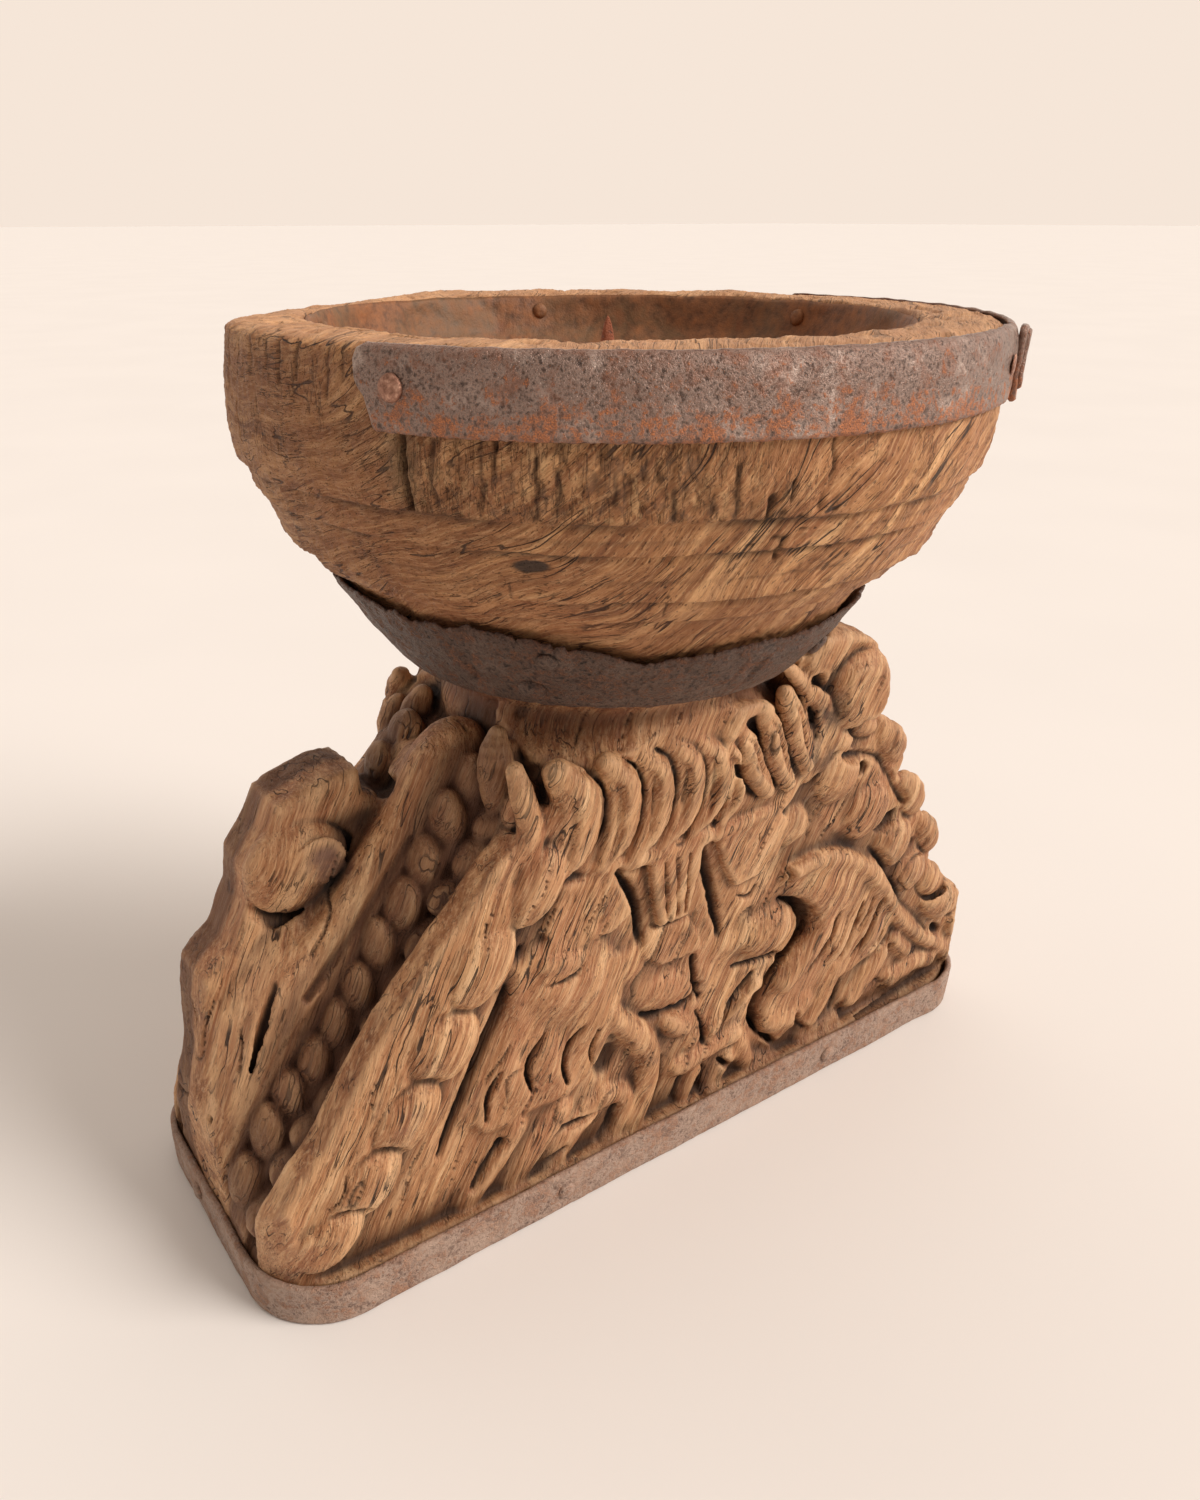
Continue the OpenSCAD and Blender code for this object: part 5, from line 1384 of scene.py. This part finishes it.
def bowl_material():
    tones = [srgb(98, 60, 36), srgb(160, 108, 68), srgb(208, 154, 104), srgb(244, 196, 144), srgb(140, 88, 54), srgb(176, 116, 76), srgb(124, 76, 50), srgb(38, 24, 16)]
    M, base, cav, cavl, cracks_and_ledge_shade, k = wood("turned_wood", FIB_BOWL, tones, (-310, 50), bowl=True)
    sep = M.t.nodes.new("ShaderNodeSeparateXYZ")
    M.link(M.P, sep.inputs[0])
    # upright weather checks, as on end grain
    xy = M.vec("MULTIPLY", M.P, (1, 1, 0))
    up = M.noise(M.vec("MULTIPLY", M.P, (1.0, 1.0, 0.10)), 0.55, 3.0, 0.6)
    upc = M.step(M.math("ABSOLUTE", M.math("SUBTRACT", up, 0.5)), 0.020, 0.004)
    upm = M.step(M.noise(M.P, 0.09, 3.0, 0.6), 0.50, 0.60)
    belt = M.attr("belt")
    zone = M.math("MULTIPLY", M.step(sep.outputs[2], 214, 222), M.step(sep.outputs[2], 247.2, 246.2))
    upc = M.math("MULTIPLY", upc, M.math("MAXIMUM", M.math("MULTIPLY", M.math("MULTIPLY", upm, zone), 0.6), M.math("MULTIPLY", belt, 0.55)))
    base = M.mix(M.math("MULTIPLY", upc, 0.80), base, srgb(44, 28, 18))
    # painted shade: darker where the surface is sunk in
    deep = M.step(cav, 0.14, 0.75)
    base = M.mix(M.math("MULTIPLY", deep, 0.55), base, srgb(60, 40, 26))
    bn = M.noise(M.vec("MULTIPLY", M.P, (1, 1, 0.7)), 0.36, 5.0, 0.66)
    base = M.mix(M.math("MULTIPLY", belt, M.step(bn, 0.52, 0.64, 0.0, 0.45)), base, srgb(100, 78, 62))
    base = M.mix(M.math("MULTIPLY", belt, M.step(bn, 0.47, 0.35, 0.0, 0.45)), base, srgb(222, 180, 130))
    # dark cracks, with painted shadow along the turned ledges
    base = M.mix(M.math("MULTIPLY", cracks_and_ledge_shade, 0.88), base, srgb(28, 18, 12))
    knot = M.attr("knot")
    base = M.mix(M.step(knot, 0.3, 0.75, 0.0, 0.92), base, srgb(48, 42, 38))
    # verdigris and soot run down from the end of the strap
    green = dot_mask(M, (-89.0, -48.0, 224.0), 3.0, 9.0, (1.3, 1.3, 0.55))
    base = M.mix(M.math("MULTIPLY", green, 0.45), base, srgb(110, 104, 78))
    # painted highlight: the top face of the rim is made paler
    rt = M.attr("rimtop")
    base = M.mix(M.math("MULTIPLY", rt, 0.45), base, srgb(206, 160, 122))
    base = M.mix(M.math("MULTIPLY", M.step(sep.outputs[2], 206, 180), 0.30), base, srgb(128, 74, 44))
    # painted shade: the left side of the bowl, turned away from the key lamp, is darker than the right
    left_side_shade = M.step(M.vec("DOT_PRODUCT", M.P, (-0.86, 0.10, 0.0)), 30, 92)
    base = M.mix(M.math("MULTIPLY", M.math("MULTIPLY", left_side_shade, M.step(sep.outputs[2], 246.8, 244.8)), 0.45), base, srgb(98, 58, 34))
    M.link(base, M.b.inputs["Base Color"])
    rough = M.math("MULTIPLY_ADD", k["fine"], -0.20, 0.74)
    rough = M.math("ADD", rough, M.math("MULTIPLY", deep, 0.2), clamp=True)
    M.link(rough, M.b.inputs["Roughness"])
    n1 = M.bump(k["streak"], 0.0012, 0.65)
    n2 = M.bump(k["fine"], 0.00050, 0.85, n1)
    grit = M.noise(M.P, 1.1, 4.0, 0.65)
    n3 = M.bump(M.math("ADD", grit, M.math("MULTIPLY", belt, M.math("MULTIPLY", bn, 2.0))), 0.00042, 0.6, n2)
    n4 = M.bump(M.math("SUBTRACT", M.math("MULTIPLY", k["hair"], 0.7), k["pores"]), 0.00018, 0.8, n3)
    n5 = M.bump(M.math("MULTIPLY", M.math("MAXIMUM", k["checks"], upc), -1.0), 0.0006, 0.9, n4)
    M.link(n5, M.b.inputs["Normal"])
    return M.m


def iron(name, dark, mid, rust, rust2, amount=0.5, metal=0.5, rough=(0.42, 0.85), scale=1.0, dust=None, bump=1.0, height=None, light=None):
    M = Mat(name, spec=0.45)
    a = M.noise(M.P, 0.16 * scale, 5.0, 0.62, 0.6)
    b = M.noise(M.P, 0.62 * scale, 4.0, 0.62)
    c = M.noise(M.P, 2.6 * scale, 3.0, 0.6)
    v = M.voro(M.P, 0.9 * scale)
    base = M.ramp(b, (0.34, dark), (0.52, mid), (0.66, dark))
    base = M.mix(M.step(a, 0.46, 0.64, 0.0, 0.55), base, rust)
    base = M.mix(M.step(c, 0.50, 0.72, 0.0, 0.25), base, mid)
    if light:
        # paler patches in the light colour: a painted sheen on the strap, lighter mottling on the collar
        sheen_and_mottle = M.step(M.noise(M.P, 0.075 * scale, 5.0, 0.62, 0.5), 0.50, 0.68, 0.0, 0.55)
        base = M.mix(M.math("MULTIPLY", sheen_and_mottle, M.step(b, 0.36, 0.56, 0.35, 1.0)), base, light)
    lo = 0.72 - 0.34 * amount
    mixed = M.math("ADD", M.math("MULTIPLY", a, 0.45), M.math("MULTIPLY", b, 0.55))
    if height:
        sz = M.t.nodes.new("ShaderNodeSeparateXYZ")
        M.link(M.P, sz.inputs[0])
        mixed = M.math("ADD", mixed, M.step(sz.outputs[2], height[1], height[0], -0.07, 0.055))
    rmask = M.step(mixed, lo - 0.05, lo + 0.06)
    rcol = M.mix(M.step(c, 0.38, 0.64), rust, rust2)
    base = M.mix(M.math("MULTIPLY", rmask, 0.85), base, rcol)
    speck = M.step(M.noise(M.P, 3.4 * scale, 2.0, 0.5), 0.63, 0.72)
    base = M.mix(M.math("MULTIPLY", speck, 0.5), base, rust2)
    edge = M.attr("edge")
    base = M.mix(M.math("MULTIPLY", edge, 0.30), base, rust)
    if dust:
        base = M.mix(M.step(M.noise(M.P, 0.11 * scale, 4.0, 0.6), 0.40, 0.66, 0.05, 0.55), base, dust)
    M.link(base, M.b.inputs["Base Color"])
    M.link(M.math("MULTIPLY", M.math("SUBTRACT", 1.0, rmask), metal), M.b.inputs["Metallic"])
    r = M.math("MULTIPLY_ADD", c, 0.25, rough[0] - 0.10)
    r = M.math("ADD", r, M.math("MULTIPLY", rmask, rough[1] - rough[0]), clamp=True)
    M.link(r, M.b.inputs["Roughness"])
    h = M.math("ADD", M.math("MULTIPLY", b, 0.8), M.math("MULTIPLY", c, 0.45))
    h = M.math("SUBTRACT", h, M.math("MULTIPLY", M.step(v, 0.28, 0.08), 0.35))
    h = M.math("ADD", h, M.math("MULTIPLY", rmask, 0.12))
    M.link(M.bump(h, 0.0006 * bump, 0.8), M.b.inputs["Normal"])
    return M.m


def pan_material():
    M = Mat("pan_iron", spec=0.4)
    a = M.noise(M.P, 0.045, 4.0, 0.6, 0.5)
    b = M.noise(M.P, 0.30, 5.0, 0.62)
    c = M.noise(M.P, 1.8, 3.0, 0.6)
    base = M.ramp(b, (0.30, srgb(96, 62, 40)), (0.50, srgb(140, 94, 62)), (0.70, srgb(164, 108, 68)))
    base = M.mix(M.step(a, 0.44, 0.66, 0.0, 0.50), base, srgb(108, 92, 68))
    base = M.mix(M.step(M.noise(M.P, 0.09, 4.0, 0.6), 0.58, 0.74, 0.0, 0.35), base, srgb(150, 86, 52))
    base = M.mix(M.step(c, 0.58, 0.74, 0.0, 0.35), base, srgb(64, 42, 30))
    M.link(base, M.b.inputs["Base Color"])
    M.b.inputs["Metallic"].default_value = 0.15
    M.link(M.math("MULTIPLY_ADD", b, 0.35, 0.40), M.b.inputs["Roughness"])
    M.link(M.bump(M.math("ADD", b, M.math("MULTIPLY", c, 0.4)), 0.0005, 0.6), M.b.inputs["Normal"])
    return M.m


def copper_material():
    M = Mat("copper_nail", spec=0.5)
    b = M.noise(M.P, 0.9, 4.0, 0.6)
    c = M.noise(M.P, 4.0, 3.0, 0.6)
    base = M.ramp(b, (0.34, srgb(128, 90, 74)), (0.52, srgb(166, 124, 104)), (0.68, srgb(200, 158, 136)))
    base = M.mix(M.step(c, 0.58, 0.7, 0.0, 0.25), base, srgb(84, 44, 36))
    M.link(base, M.b.inputs["Base Color"])
    M.b.inputs["Metallic"].default_value = 0.75
    M.link(M.math("MULTIPLY_ADD", c, 0.3, 0.32), M.b.inputs["Roughness"])
    M.link(M.bump(M.math("ADD", b, c), 0.0002, 0.6), M.b.inputs["Normal"])
    return M.m


m_block = block_material()
m_bowl = bowl_material()
m_strap = iron("strap_iron", srgb(78, 62, 55), srgb(154, 130, 118), srgb(132, 86, 64), srgb(206, 128, 78), amount=0.52, metal=0.40, light=srgb(216, 196, 184), rough=(0.28, 0.70), scale=1.35, height=(232, 245))
m_collar = iron("collar_iron", srgb(30, 24, 22), srgb(112, 90, 78), srgb(84, 54, 40), srgb(148, 102, 74), light=srgb(136, 116, 104), amount=0.52, metal=0.28, rough=(0.42, 0.80), scale=1.25, bump=2.8)
m_band = iron("foot_iron", srgb(100, 76, 64), srgb(184, 158, 142), srgb(136, 98, 78), srgb(186, 142, 114), amount=0.56, metal=0.15, rough=(0.50, 0.82), dust=srgb(192, 166, 148), bump=1.8)
m_pan = pan_material()
m_spike = iron("spike_iron", srgb(84, 52, 42), srgb(132, 84, 66), srgb(150, 84, 56), srgb(176, 108, 80), amount=0.8, metal=0.3)
m_copper = copper_material()

# ------------------------------------------------------------------ pieces
pieces = []


def put(ob, nodes):
    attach(ob, "root")
    if nodes:
        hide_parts(*nodes)
    pieces.append(ob)
    return ob


put(block_mesh(m_block), ["base_block"])
put(bowl_mesh(m_bowl), ["bowl"])
put(front_strap(m_strap), ["rim_strap_front"])
put(rear_strap(m_strap), ["rim_strap_rear"])
put(lap_plate("rim_strap_lap_inner", m_strap, -57.6, -53.6, 230.8, 247.4, 101.7, 0.1, 1), [])
put(lap_plate("rim_strap_lap_outer", m_strap, -56.8, -54.0, 233.6, 246.6, 102.5, 0.1, 4), [])
put(collar_mesh(m_collar), ["collar"])
put(foot_band(m_band), ["foot_band"])
put(band_tongue(m_band), [])
put(pan_mesh(m_pan), ["liner_pan"])
put(spike_mesh(m_spike), ["pricket"])
p, d = on_bowl(-152.0, 100.5, 240.2)
items = [(p, d, 2.75, 1.25, 1)]
p, d = on_bowl(-61.6, 100.7, 239.9)
items.append((p, d, 2.2, 0.5, 2))
p, d = on_bowl(13.0, 100.5, 240.0)
items.append((p, d, 2.9, 1.3, 3))
put(nail_group("strap_nail_heads", items, m_copper), ["strap_nails"])
items = []
for k, azn in enumerate((4, 69, 141, 213, 285)):
    a_ = math.radians(azn)
    items.append(((75.6 * math.cos(a_), 75.6 * math.sin(a_), 242.8), (-math.cos(a_), -math.sin(a_), 0.28), 2.3, 1.5, 10 + k))
put(nail_group("liner_nail_heads", items, m_pan), ["liner_nails"])
items = []
for k, (azn, zz, rr) in enumerate(((-141.7, 167.0, 3.7), (-137.0, 177.6, 2.6), (-62.0, 168.0, 3.2), (38.0, 167.5, 3.3), (118.0, 167.0, 3.3))):
    rc = float(np.interp(zz, [160.4, 162.8, 167.4, 173.8, 178.9], [57.8, 60.2, 64.2, 69.2, 72.3]))
    p, d = on_bowl(azn, rc + 0.1, zz, -0.75)
    items.append((p, d, rr, 1.5, 20 + k))
put(nail_group("collar_nail_heads", items, m_collar), ["collar_nails"])
items = []
for x in (-52, 62):
    items.append(((x + BX, -53.9, 7.2), (0, -1, 0), 2.9, 1.4, 30 + x))
for x in (-78, 34):
    items.append(((x + BX, 53.9, 7.2), (0, 1, 0), 2.9, 1.4, 40 + x))
for s in (-1, 1):
    items.append(((s * 145.5 + BX, 9, 7.2), (s, 0, 0), 2.9, 1.4, 50 + s))
put(nail_group("band_nail_heads", items, m_band), ["band_nails"])

# ------------------------------------------------------------------ stage
def plain(name, col, rough=0.9):
    M = Mat(name, spec=0.2)
    n = M.noise(M.P, 0.004, 2.0, 0.5)
    M.link(M.mix(M.step(n, 0.3, 0.7), col, tuple(min(1.0, c * 1.02) for c in col[:3]) + (1.0,)), M.b.inputs["Base Color"])
    M.b.inputs["Roughness"].default_value = rough
    return M.m


floor_m = plain("floor_paper", srgb(236, 234, 232))
fv = np.array([[-40000, -40000, 0], [40000, -40000, 0], [40000, 40000, 0], [-40000, 40000, 0]], float)
floor = make("floor", fv, np.array([[0, 1, 2, 3]]), [floor_m], smooth_shade=False)

world = bpy.data.worlds.new("studio")
bpy.context.scene.world = world
world.use_nodes = True
bg = world.node_tree.nodes["Background"]
bg.inputs[0].default_value = srgb(249, 233, 219)
# brighter behind the object than before it
wt = world.node_tree
w_tc = wt.nodes.new("ShaderNodeTexCoord")
w_dot = wt.nodes.new("ShaderNodeVectorMath")
w_dot.operation = "DOT_PRODUCT"
w_dot.inputs[1].default_value = (0.56, 0.83, 0.0)
wt.links.new(w_tc.outputs["Generated"], w_dot.inputs[0])
w_map = wt.nodes.new("ShaderNodeMapRange")
w_map.interpolation_type = "SMOOTHSTEP"
w_map.inputs[1].default_value = -0.75
w_map.inputs[2].default_value = 0.70
w_map.inputs[3].default_value = 0.34
w_map.inputs[4].default_value = 0.97
wt.links.new(w_dot.outputs["Value"], w_map.inputs[0])
wt.links.new(w_map.outputs[0], bg.inputs[1])

sun = bpy.data.lights.new("key", "SUN")
sun.energy = 2.7
sun.angle = math.radians(32)
sun.color = (1.0, 0.915, 0.845)
sun_ob = bpy.data.objects.new("key", sun)
bpy.context.scene.collection.objects.link(sun_ob)
sun_ob.rotation_euler = Vector((-0.52, 0.60, -0.60)).to_track_quat("-Z", "Y").to_euler()

cam_d = bpy.data.cameras.new("camera")
cam = bpy.data.objects.new("camera", cam_d)
bpy.context.scene.collection.objects.link(cam)
cam_d.sensor_fit = "VERTICAL"
cam_d.sensor_height = 36.0
cam_d.lens = 1120.55 * 36.0 / 1500.0
cam_d.shift_x = (600 - 527.04) / 1500.0
cam_d.shift_y = (824.44 - 750) / 1500.0
cam_d.clip_start = 0.01
R_ = Vector((0.830139, -0.557556, -0.000576)).normalized()
F_ = Vector((0.489855, 0.729832, -0.476852)).normalized()
U_ = R_.cross(F_).normalized()
R_ = F_.cross(U_).normalized()
m = Matrix(((R_.x, U_.x, -F_.x, -0.195332), (R_.y, U_.y, -F_.y, -0.253367), (R_.z, U_.z, -F_.z, 0.269303), (0, 0, 0, 1)))
cam.matrix_world = m
bpy.context.scene.camera = cam
bpy.context.scene.view_settings.view_transform = "Standard"
